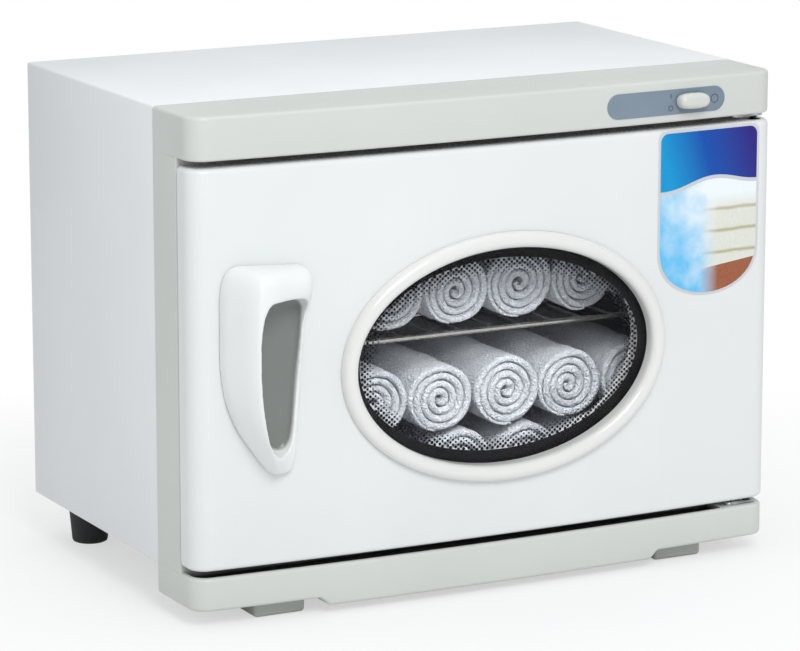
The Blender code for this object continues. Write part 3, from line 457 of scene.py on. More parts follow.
def make_moulded_grain() -> bpy.types.NodeTree:
    """A group for moulded and painted surfaces: fine grain, soft tone changes and dust on top faces."""
    kit, start, end = group_frame(
        "moulded_grain",
        [
            ("Vector", "NodeSocketVector", 0.0), ("Grain Scale", "NodeSocketFloat", 1500.0),
            ("Tone Scale", "NodeSocketFloat", 7.0), ("Wave Scale", "NodeSocketFloat", 60.0),
        ],
        [("Tone", "NodeSocketFloat"), ("Height", "NodeSocketFloat"), ("Dust", "NodeSocketFloat"), ("Edge", "NodeSocketFloat")],
    )
    vector = start.outputs["Vector"]
    layers = []
    for label, detail in (("Grain Scale", 2.0), ("Tone Scale", 4.0), ("Wave Scale", 1.0)):
        texture = kit.add("ShaderNodeTexNoise")
        texture.inputs["Detail"].default_value = detail
        kit.link(vector, texture.inputs["Vector"])
        kit.link(start.outputs[label], texture.inputs["Scale"])
        layers.append(texture.outputs["Fac"])
    grain, tone, wave = layers
    kit.link(tone, end.inputs["Tone"])
    height = kit.maths("ADD", kit.maths("MULTIPLY", grain, 0.25), wave)
    kit.link(height, end.inputs["Height"])
    geometry = kit.add("ShaderNodeNewGeometry")
    split = kit.add("ShaderNodeSeparateXYZ")
    kit.link(geometry.outputs["Normal"], split.inputs[0])
    upward = kit.remap(split.outputs["Z"], 0.75, 1.0, 0.0, 1.0)
    specks = kit.remap(kit.noise(vector, 420.0, 6.0), 0.52, 0.78, 0.0, 1.0)
    kit.link(kit.maths("MULTIPLY", upward, specks), end.inputs["Dust"])
    edge = kit.remap(geometry.outputs["Pointiness"], 0.515, 0.56, 0.0, 1.0)
    kit.link(kit.maths("MULTIPLY", edge, kit.remap(tone, 0.35, 0.7, 0.2, 1.0)), end.inputs["Edge"])
    return kit.tree


def make_brushed_lines() -> bpy.types.NodeTree:
    """A group for brushed or drawn metal: fine lines along one way, and smears."""
    kit, start, end = group_frame(
        "brushed_lines",
        [("Vector", "NodeSocketVector", 0.0), ("Line Scale", "NodeSocketFloat", 900.0)],
        [("Line", "NodeSocketFloat"), ("Smear", "NodeSocketFloat")],
    )
    stretch = kit.add("ShaderNodeVectorMath", operation="MULTIPLY")
    stretch.inputs[1].default_value = (1.0, 0.02, 1.0)
    kit.link(start.outputs["Vector"], stretch.inputs[0])
    lines = kit.add("ShaderNodeTexNoise")
    lines.inputs["Detail"].default_value = 3.0
    kit.link(stretch.outputs[0], lines.inputs["Vector"])
    kit.link(start.outputs["Line Scale"], lines.inputs["Scale"])
    kit.link(lines.outputs["Fac"], end.inputs["Line"])
    kit.link(kit.noise(start.outputs["Vector"], 18.0, 4.0), end.inputs["Smear"])
    return kit.tree


def make_terry_loops() -> bpy.types.NodeTree:
    """A group for towelling: a field of small loops with deeper furrows between them."""
    kit, start, end = group_frame(
        "terry_loops",
        [("Vector", "NodeSocketVector", 0.0), ("Loop Scale", "NodeSocketFloat", 620.0)],
        [("Pile", "NodeSocketFloat"), ("Height", "NodeSocketFloat"), ("Tone", "NodeSocketFloat")],
    )
    vector = start.outputs["Vector"]
    wobble = kit.add("ShaderNodeVectorMath", operation="MULTIPLY_ADD")
    bend = kit.add("ShaderNodeTexNoise")
    bend.inputs["Scale"].default_value = 180.0
    kit.link(vector, bend.inputs["Vector"])
    kit.link(bend.outputs["Color"], wobble.inputs[0])
    wobble.inputs[1].default_value = (0.0025, 0.0025, 0.0025)
    kit.link(vector, wobble.inputs[2])
    cells = kit.add("ShaderNodeTexVoronoi")
    kit.link(wobble.outputs[0], cells.inputs["Vector"])
    kit.link(start.outputs["Loop Scale"], cells.inputs["Scale"])
    loops = kit.remap(cells.outputs["Distance"], 0.0, 0.75, 1.0, 0.0)
    clumps = kit.noise(vector, 230.0, 4.0)
    kit.link(loops, end.inputs["Pile"])
    kit.link(kit.maths("ADD", loops, kit.maths("MULTIPLY", clumps, 1.6)), end.inputs["Height"])
    kit.link(kit.noise(vector, 26.0, 3.0), end.inputs["Tone"])
    return kit.tree


GRAIN = make_moulded_grain()
BRUSHED = make_brushed_lines()
TERRY = make_terry_loops()


def start_material(name: str) -> tuple[bpy.types.Material, NodeKit, bpy.types.Node, bpy.types.NodeSocket]:
    """A new material with its Principled shader and Object coordinates.

    Args:
        name: The material's name.

    Returns:
        The material, a kit for its tree, its shader and the coordinates.
    """
    made = bpy.data.materials.new(name)
    made.use_nodes = True
    kit = NodeKit(made.node_tree)
    shader = made.node_tree.nodes["Principled BSDF"]
    place = kit.add("ShaderNodeTexCoord").outputs["Object"]
    return made, kit, shader, place


def add_bump(kit: NodeKit, shader: bpy.types.Node, height: bpy.types.NodeSocket, depth: float) -> None:
    """Feed a height to a shader's normal.

    Args:
        kit: The material's kit.
        shader: Its shader.
        height: The height, 0 to 1.
        depth: What a height of 1 stands for, in metres.
    """
    bump = kit.add("ShaderNodeBump")
    bump.inputs["Strength"].default_value = 1.0
    bump.inputs["Distance"].default_value = depth
    kit.link(height, bump.inputs["Height"])
    kit.link(bump.outputs["Normal"], shader.inputs["Normal"])


@dataclass(frozen=True)
class Moulded:
    """A moulded plastic, rubber or painted surface."""

    name: str
    colour: Colour
    roughness: float
    spread: float = 0.02
    grain_scale: float = 1500.0
    depth: float = 0.00002
    coat: float = 0.0
    dust: float = 0.03
    edge: float = 0.02
    specular: float = 0.5
    # Colour of painted shade, laid where the piece's per-point mask marks a recess that lies in shade.
    painted_shade: Colour | None = None

    def build(self) -> bpy.types.Material:
        """Make the material.

        Returns:
            The finished material.
        """
        made, kit, shader, place = start_material(self.name)
        grain = kit.add("ShaderNodeGroup", node_tree=GRAIN)
        grain.inputs["Grain Scale"].default_value = self.grain_scale
        kit.link(place, grain.inputs["Vector"])
        dark = tuple(channel * (1 - self.spread) for channel in self.colour)
        light = tuple(min(1.0, channel * (1 + self.spread)) for channel in self.colour)
        tone = kit.remap(grain.outputs["Tone"], 0.3, 0.7, 0.0, 1.0)
        base = kit.blend(tone, dark, light)
        dusty = kit.blend(kit.maths("MULTIPLY", grain.outputs["Dust"], self.dust), base, (0.62, 0.60, 0.56))
        worn_and_painted_shade = kit.blend(kit.maths("MULTIPLY", grain.outputs["Edge"], self.edge * 4), dusty, (0.9, 0.9, 0.88))
        # Painted shade: where the per-point mask is set, the colour turns to this darker tone, standing in for the
        # shade in a recess.
        if self.painted_shade:
            inside = kit.add("ShaderNodeAttribute", attribute_name="painted_shade")
            worn_and_painted_shade = kit.blend(inside.outputs["Fac"], worn_and_painted_shade, kit.blend(tone, self.painted_shade, tuple(c * 1.08 for c in self.painted_shade)))
        kit.link(worn_and_painted_shade, shader.inputs["Base Color"])
        shader.inputs["Specular IOR Level"].default_value = self.specular
        rough = kit.remap(grain.outputs["Tone"], 0.3, 0.7, self.roughness * 0.9, self.roughness * 1.12)
        extra = kit.maths("MULTIPLY", grain.outputs["Dust"], 0.2)
        kit.link(kit.maths("ADD", rough, extra), shader.inputs["Roughness"])
        shader.inputs["Coat Weight"].default_value = self.coat
        shader.inputs["Coat Roughness"].default_value = 0.08
        add_bump(kit, shader, grain.outputs["Height"], self.depth)
        return made


@dataclass(frozen=True)
class Metal:
    """A plated, brushed or bright metal."""

    name: str
    colour: Colour
    roughness: float
    line_scale: float = 900.0
    depth: float = 0.00001

    def build(self) -> bpy.types.Material:
        """Make the material.

        Returns:
            The finished material.
        """
        made, kit, shader, place = start_material(self.name)
        lines = kit.add("ShaderNodeGroup", node_tree=BRUSHED)
        lines.inputs["Line Scale"].default_value = self.line_scale
        kit.link(place, lines.inputs["Vector"])
        shader.inputs["Metallic"].default_value = 1.0
        dull = tuple(channel * 0.86 for channel in self.colour)
        smear = kit.remap(lines.outputs["Smear"], 0.3, 0.7, 0.0, 1.0)
        kit.link(kit.blend(smear, dull, self.colour), shader.inputs["Base Color"])
        low, high = self.roughness * 0.75, self.roughness * 1.3
        kit.link(kit.remap(lines.outputs["Line"], 0.3, 0.7, low, high), shader.inputs["Roughness"])
        add_bump(kit, shader, lines.outputs["Line"], self.depth)
        return made


@dataclass(frozen=True)
class Towelling:
    """White cotton terry, with painted shade in the furrows between its loops."""

    name: str
    colour: Colour = (0.80, 0.825, 0.870)
    # The shade colour is painted shade in the furrows between loops, and also a darker random tone.
    shade: Colour = (0.62, 0.655, 0.715)

    def build(self) -> bpy.types.Material:
        """Make the material.

        Returns:
            The finished material.
        """
        made, kit, shader, place = start_material(self.name)
        loops = kit.add("ShaderNodeGroup", node_tree=TERRY)
        kit.link(place, loops.inputs["Vector"])
        # Painted shade: the furrows between the loops are blended towards the shade colour.
        pile = kit.remap(loops.outputs["Pile"], 0.1, 0.8, 0.0, 1.0)
        cloth = kit.blend(pile, self.shade, self.colour)
        tone = kit.remap(loops.outputs["Tone"], 0.35, 0.65, 0.0, 0.25)
        kit.link(kit.blend(tone, cloth, self.shade), shader.inputs["Base Color"])
        shader.inputs["Roughness"].default_value = 0.95
        shader.inputs["Sheen Weight"].default_value = 0.35
        shader.inputs["Sheen Roughness"].default_value = 0.6
        add_bump(kit, shader, loops.outputs["Height"], 0.0011)
        return made


def clear_glass() -> bpy.types.Material:
    """Clear window glass that lets the light through to the towels.

    Returns:
        The finished material.
    """
    made, kit, shader, place = start_material("clear_window_glass")
    shader.inputs["Base Color"].default_value = (0.985, 0.99, 0.99, 1.0)
    shader.inputs["Transmission Weight"].default_value = 1.0
    shader.inputs["IOR"].default_value = 1.12
    smudge = kit.remap(kit.noise(place, 14.0, 5.0), 0.45, 0.75, 0.0, 0.012)
    kit.link(smudge, shader.inputs["Roughness"])
    through = kit.add("ShaderNodeBsdfTransparent")
    through.inputs["Color"].default_value = (0.99, 0.99, 0.99, 1.0)
    path = kit.add("ShaderNodeLightPath")
    mix = kit.add("ShaderNodeMixShader")
    kit.link(path.outputs["Is Shadow Ray"], mix.inputs[0])
    kit.link(shader.outputs[0], mix.inputs[1])
    kit.link(through.outputs[0], mix.inputs[2])
    kit.link(mix.outputs[0], made.node_tree.nodes["Material Output"].inputs["Surface"])
    return made


def label_print() -> bpy.types.Material:
    """The door label: a pale edge, a blue head that fades down, a soft wave and a pale foot.

    Returns:
        The finished material.
    """
    made, kit, shader, place = start_material("door_label_print")
    split = kit.add("ShaderNodeSeparateXYZ")
    kit.link(place, split.inputs[0])
    across = kit.remap(split.outputs["X"], LABEL.left, LABEL.right, 0.0, 1.0)
    up = kit.remap(split.outputs["Z"], LABEL.top - LABEL.height, LABEL.top, 0.0, 1.0)
    swing = kit.maths("SINE", kit.maths("MULTIPLY_ADD", across, 6.8, -2.1))
    wave = kit.maths("MULTIPLY_ADD", swing, 0.028, kit.maths("MULTIPLY_ADD", across, 0.035, 0.655))
    above = kit.maths("SUBTRACT", up, wave)
    slant = kit.maths("ADD", kit.maths("MULTIPLY", up, 0.35), kit.maths("MULTIPLY", across, 0.85))
    head = kit.blend(kit.remap(slant, 0.35, 0.70, 0.0, 1.0), (0.000, 0.285, 0.600), (0.000, 0.070, 0.380))
    head = kit.blend(kit.remap(slant, 0.72, 1.12, 0.0, 1.0), head, (0.022, 0.012, 0.200))
    cloud = kit.remap(kit.noise(place, 70.0, 6.0), 0.35, 0.65, 0.0, 0.35)
    low_left = kit.maths("SUBTRACT", kit.maths("ADD", cloud, 0.85), kit.maths("MULTIPLY_ADD", across, 1.3, up))
    sky = kit.blend(kit.remap(low_left, -0.25, 0.65, 0.0, 1.0), (0.80, 0.86, 0.88), (0.13, 0.50, 0.82))
    cloth = kit.maths("MULTIPLY", kit.remap(across, 0.42, 0.60, 0.0, 1.0), kit.remap(up, 0.60, 0.50, 0.0, 1.0))
    weave = kit.blend(kit.noise(place, 700.0, 3.0), (0.60, 0.62, 0.54), (0.78, 0.79, 0.72))
    stack = kit.maths("PINGPONG", kit.maths("ADD", up, kit.maths("MULTIPLY", kit.noise(place, 60.0), 0.02)), 0.065)
    folds = kit.blend(kit.remap(stack, 0.0, 0.016, 0.0, 1.0), (0.42, 0.38, 0.22), weave)
    wicker = kit.blend(kit.noise(place, 900.0, 4.0), (0.22, 0.06, 0.025), (0.42, 0.15, 0.07))
    pile = kit.blend(kit.maths("LESS_THAN", kit.maths("MULTIPLY_ADD", across, -0.08, up), 0.125), folds, wicker)
    body = kit.blend(cloth, sky, pile)
    line = kit.maths("LESS_THAN", kit.maths("ABSOLUTE", above), 0.011)
    printed = kit.blend(kit.maths("GREATER_THAN", above, 0.0), body, head)
    kit.link(kit.blend(line, printed, (0.56, 0.57, 0.60)), shader.inputs["Base Color"])
    shader.inputs["Specular IOR Level"].default_value = 0.3
    kit.link(kit.remap(kit.noise(place, 40.0, 3.0), 0.3, 0.7, 0.22, 0.34), shader.inputs["Roughness"])
    return made


@dataclass(frozen=True)
class LabelSize:
    """The door label's place and size."""

    left: float = 0.128
    right: float = 0.2125
    top: float = 0.3115
    height: float = 0.119
    border: float = 0.0020
    foot: float = 0.034
    corner: float = 0.006


    def outline(self, shrink: float) -> list[tuple[float, float]]:
        """The label's outline: rounded at the top, half an oval at the foot.

        Args:
            shrink: How far inside the label's edge it runs.

        Returns:
            Its points, as places across and up.
        """
        left, right, top = self.left + shrink, self.right - shrink, self.top - shrink
        bottom, foot = self.top - self.height + shrink, self.foot - shrink / 2
        middle, half = (left + right) / 2, (right - left) / 2
        rights = [math.radians(90.0 - 15.0 * step) for step in range(7)]
        lefts = [math.radians(180.0 - 15.0 * step) for step in range(7)]
        turns = [math.pi * step / 24 for step in range(25)]
        corner = self.corner
        return [
            *((right - corner + corner * math.cos(a), top - corner + corner * math.sin(a)) for a in rights),
            *((middle + half * math.cos(a), bottom + foot - foot * math.sin(a) ** 0.85) for a in turns),
            *((left + corner + corner * math.cos(a), top - corner + corner * math.sin(a)) for a in lefts),
        ]


LABEL = LabelSize()


def bowed_plate(
    outline: Sequence[tuple[float, float]], lift: float, thickness: float, roll: tuple[float, float] | None = None
) -> bmesh.types.BMesh:
    """A thin plate that lies on the bowed front.

    Args:
        outline: Its outline, as places across and up.
        lift: How far its face stands in front of the bowed front.
        thickness: Its thickness.
        roll: The height and radius of a rounded top edge that it follows.

    Returns:
        The closed mesh.
    """
    shape = bmesh.new()
    bmesh.ops.contextual_create(shape, geom=ring_edges(shape, [Vector((x, 0.0, z)) for x, z in outline]))
    left, right = min(x for x, _ in outline), max(x for x, _ in outline)
    slice_at(shape, Axis.X, [left + (right - left) * index / 12 for index in range(1, 12)])
    if roll:
        slice_at(shape, Axis.Z, [roll[0] - roll[1] * share for share in (0.4, 0.7, 1.0)])
    for vert in shape.verts:
        back = 0.0
        if roll:
            over = max(0.0, vert.co.z - (roll[0] - roll[1]))
            back = roll[1] - math.sqrt(max(0.0, roll[1] ** 2 - over**2))
        vert.co.y = CURVE.face(vert.co.x) - lift + back
    bmesh.ops.recalc_face_normals(shape, faces=shape.faces)
    if next(iter(shape.faces)).normal.y > 0:
        bmesh.ops.reverse_faces(shape, faces=shape.faces)
    bmesh.ops.solidify(shape, geom=list(shape.faces), thickness=thickness)
    bmesh.ops.recalc_face_normals(shape, faces=shape.faces)
    return shape


class Finishes:
    """Every finish on the cabinet, made once."""

    def __init__(self) -> None:
        """Make the materials."""
        self.case_paint = Moulded("white_case_paint", (0.800, 0.815, 0.825), 0.42, grain_scale=900.0, depth=0.00003).build()
        # The moulding's sunk ledges beside the door get near-black painted shade.
        self.surround = Moulded("grey_moulding", (0.595, 0.615, 0.585), 0.36, painted_shade=(0.012, 0.012, 0.012)).build()
        self.door = Moulded("white_door_moulding", (0.735, 0.758, 0.752), 0.24, coat=0.15).build()
        # The handle's finger pocket gets grey painted shade.
        self.handle = Moulded("white_handle_moulding", (0.800, 0.815, 0.805), 0.30, grain_scale=900.0, painted_shade=(0.175, 0.188, 0.178)).build()
        self.bezel = Moulded("warm_bezel_gloss", (0.745, 0.750, 0.730), 0.14, coat=0.5, depth=0.00001).build()
        self.knob = Moulded("white_rocker", (0.590, 0.605, 0.570), 0.24, coat=0.3, depth=0.00001).build()
        self.sleeve = Moulded("window_sleeve_plastic", (0.600, 0.610, 0.600), 0.45).build()
        self.panel_paint = Moulded("inner_panel_paint", (0.740, 0.750, 0.745), 0.35).build()
        self.plate = Moulded("blue_grey_plate", (0.150, 0.205, 0.270), 0.40, spread=0.03, dust=0.0).build()
        self.mark = Moulded("dark_marks", (0.035, 0.045, 0.055), 0.5, dust=0.0).build()
        self.frit = Moulded("black_window_print", (0.008, 0.008, 0.009), 0.6, dust=0.0, edge=0.0, specular=0.1).build()
        self.black = Moulded("black_moulding", (0.022, 0.022, 0.023), 0.5).build()
        self.rubber = Moulded("black_foot_rubber", (0.016, 0.016, 0.017), 0.62, grain_scale=700.0, depth=0.00005).build()
        self.pad = Moulded("grey_foot_pad", (0.420, 0.440, 0.420), 0.5).build()
        self.seal = Moulded("grey_seal_rubber", (0.35, 0.37, 0.36), 0.6).build()
        self.wool = Moulded("glass_wool_blanket", (0.72, 0.66, 0.40), 0.95, spread=0.15, depth=0.0006).build()
        self.silicone = Moulded("orange_silicone", (0.62, 0.20, 0.06), 0.5).build()
        self.ceramic = Moulded("cream_ceramic", (0.72, 0.68, 0.58), 0.5).build()
        self.liner = Metal("brushed_liner", (0.74, 0.76, 0.78), 0.34).build()
        self.zinc = Metal("zinc_plate", (0.66, 0.67, 0.68), 0.30, line_scale=2500.0).build()
        self.chrome = Metal("bright_wire", (0.50, 0.49, 0.46), 0.22, line_scale=400.0, depth=0.000004).build()
        self.silver = Moulded("silver_border", (0.570, 0.580, 0.600), 0.35, dust=0.0).build()
        self.terry = Towelling("white_terry").build()
        self.glass = clear_glass()
        self.label = label_print()


# ---------------------------------------------------------------- front moulding


@dataclass(frozen=True)
class BowedBlock:
    """A block whose front follows the bowed curve, with rounded corners."""

    low: float
    high: float
    back: float
    edge: float = 0.0022
    slices: int = 24

    def build(
        self, cuts: Sequence[float] = (), shape_up: Callable[[bmesh.types.BMesh], None] | None = None,
        flush: float | None = None, front: float = 0.0,
    ) -> bmesh.types.BMesh:
        """Make the block.

        Args:
            cuts: More places across where it needs an edge.
            shape_up: A change to make before its edges are rounded.
            flush: The height of a side edge that stays square behind the front.
            front: Where that square part starts, along Y.

        Returns:
            The closed mesh.
        """
        half = CURVE.half
        start = Vector((-half, self.back - 0.02, self.low))
        shape = block(start, Vector((half, self.back, self.high)))
        spacing = 2 * half / self.slices
        even = [spacing * index - half for index in range(1, self.slices)]
        places = [x for x in even if all(abs(x - cut) > 0.003 for cut in cuts)]
        slice_at(shape, Axis.X, sorted([*places, *cuts]))
        for vert in shape.verts:
            if vert.co.y < self.back - 0.001:
                vert.co.y = CURVE.face(vert.co.x)
        if shape_up:
            shape_up(shape)
        corners = [
            edge for edge in sharp_edges(shape, 60.0)
            if all(abs(abs(v.co.x) - half) < 1e-5 and v.co.y < self.back - 0.001 for v in edge.verts)
        ]
        bevel_edges(shape, corners, CURVE.corner, 9)
        if flush is not None:
            slice_at(shape, Axis.Y, (front,))
        outline = [
            edge for edge in sharp_edges(shape)
            if any(v.co.y < self.back - 1e-5 for v in edge.verts)
            and not (flush is not None and all(v.co.y > front - 1e-5 and abs(v.co.z - flush) < 1e-5 for v in edge.verts))
        ]
        bevel_edges(shape, outline, self.edge, 4)
        bmesh.ops.recalc_face_normals(shape, faces=shape.faces)
        return shape


@dataclass
class FrontMoulding:
    """The grey surround: fascia, base and the strips beside the door."""

    fascia_height: float = 0.0298
    base_top: float = 0.035
    end_bottom: float = 0.012
    middle_bottom: float = 0.006
    middle_half: float = 0.1265
    strip_depth: float = 0.036
    wall: float = 0.003
    strip_edge: float = 0.0016
    ledge: float = 0.188
    sink: float = 0.0045
    hairline: float = 0.00006

    def build(self, finishes: Finishes) -> None:
        """Make the moulding as one piece.

        Args:
            finishes: The cabinet's finishes.
        """
        fascia_low = FRONT_HIGH.z - self.fascia_height
        strip_front = JOINT - self.strip_depth
        fascia = BowedBlock(fascia_low, FRONT_HIGH.z, JOINT).build((self.ledge,), None, fascia_low, strip_front)
        rise = self.end_bottom - self.middle_bottom
        steps = [self.ledge, *(sign * (self.middle_half + extra) for sign in (-1, 1) for extra in (0.0, rise))]

        def raise_ends(shape: bmesh.types.BMesh) -> None:
            """Lift the base's ends above its middle."""
            for vert in shape.verts:
                low_end = vert.co.z < self.middle_bottom + 0.001
                if low_end and abs(vert.co.x) > self.middle_half + rise / 2:
                    vert.co.z = self.end_bottom

        bowed = BowedBlock(self.middle_bottom, self.base_top, JOINT, 0.0026)
        base = bowed.build(sorted(steps), raise_ends, self.base_top, strip_front)
        self.sink_ledge(fascia, fascia_low, strip_front)
        self.sink_ledge(base, self.base_top, strip_front)
        moulding = bmesh.new()
        for shape in (fascia, base, self.strips(fascia_low)):
            mesh = bpy.data.meshes.new("moulding_part")
            shape.to_mesh(mesh)
            shape.free()
            moulding.from_mesh(mesh)
            bpy.data.meshes.remove(mesh)
        piece = add_piece("front_moulding", moulding, finishes.surround, 40.0)
        # Painted shade: the floors of the sunk ledges are marked, so the moulding's material paints them near-black
        # for the shade in the gap by the door.
        painted_shade_mask = piece.data.attributes.new("painted_shade", "FLOAT", "POINT")
        floors = (self.base_top - self.sink, fascia_low + self.sink)
        for vert in piece.data.vertices:
            sunk = vert.co.x < self.ledge and vert.co.y < strip_front + 0.001
            painted_shade_mask.data[vert.index].value = float(sunk and any(abs(vert.co.z - level) < 1e-5 for level in floors))
        install(piece, CABINET, "surround_plastic", "front_surround")

    def sink_ledge(self, shape: bmesh.types.BMesh, level: float, strip_front: float) -> None:
        """Sink the ledge that faces the door's edge, behind a narrow lip.

        Args:
            shape: The fascia or the base.
            level: The ledge's height.
            strip_front: Where the strips' front faces lie.
        """
        ledge = [
            face for face in shape.faces
            if abs(face.normal.z) > 0.99 and abs(face.calc_center_median().z - level) < 1e-5
            and face.calc_center_median().x < self.ledge and face.calc_center_median().y < strip_front
        ]
        bmesh.ops.inset_region(shape, faces=ledge, thickness=0.0008, depth=0.0, use_even_offset=True)
        bmesh.ops.inset_region(shape, faces=ledge, thickness=0.00005, depth=-self.sink, use_even_offset=True)

    def strips(self, fascia_low: float) -> bmesh.types.BMesh:
        """The strips and the wall round the chamber's mouth.

        Args:
            fascia_low: The fascia's underside.

        Returns:
            The closed mesh.
        """
        overlap = 0.004
        side = CURVE.half - self.hairline
        low = Vector((-side, JOINT - self.strip_depth, self.base_top - overlap))
        high = Vector((side, JOINT, fascia_low + overlap))
        shape = block(low, high)
        liner_low, liner_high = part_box("inner_liner")
        across = liner_high.x - 0.009
        sill, lintel = liner_low.z + 0.009, liner_high.z - 0.009
        slice_at(shape, Axis.X, (-across, across))
        slice_at(shape, Axis.Z, (sill, lintel))
        gone = []
        for face in shape.faces:
            middle = face.calc_center_median()
            at_mouth = abs(middle.x) < across and sill < middle.z < lintel and middle.y < JOINT - 0.03
            if at_mouth or abs(face.normal.z) > 0.9 or middle.y > JOINT - 0.001:
                gone.append(face)
        bmesh.ops.delete(shape, geom=gone, context="FACES")
        fronts = [
            edge for edge in sharp_edges(shape, 60.0)
            if all(abs(v.co.y - low.y) < 1e-5 and abs(abs(v.co.x) - side) < 1e-5 for v in edge.verts)
        ]
        bevel_edges(shape, fronts, self.strip_edge, 4)
        bmesh.ops.recalc_face_normals(shape, faces=shape.faces)
        outward = next(face for face in shape.faces if abs(face.calc_center_median().y - low.y) < 1e-4)
        if outward.normal.y > 0:
            bmesh.ops.reverse_faces(shape, faces=shape.faces)
        bmesh.ops.solidify(shape, geom=list(shape.faces), thickness=self.wall)
        bmesh.ops.recalc_face_normals(shape, faces=shape.faces)
        return shape


# ---------------------------------------------------------------- door


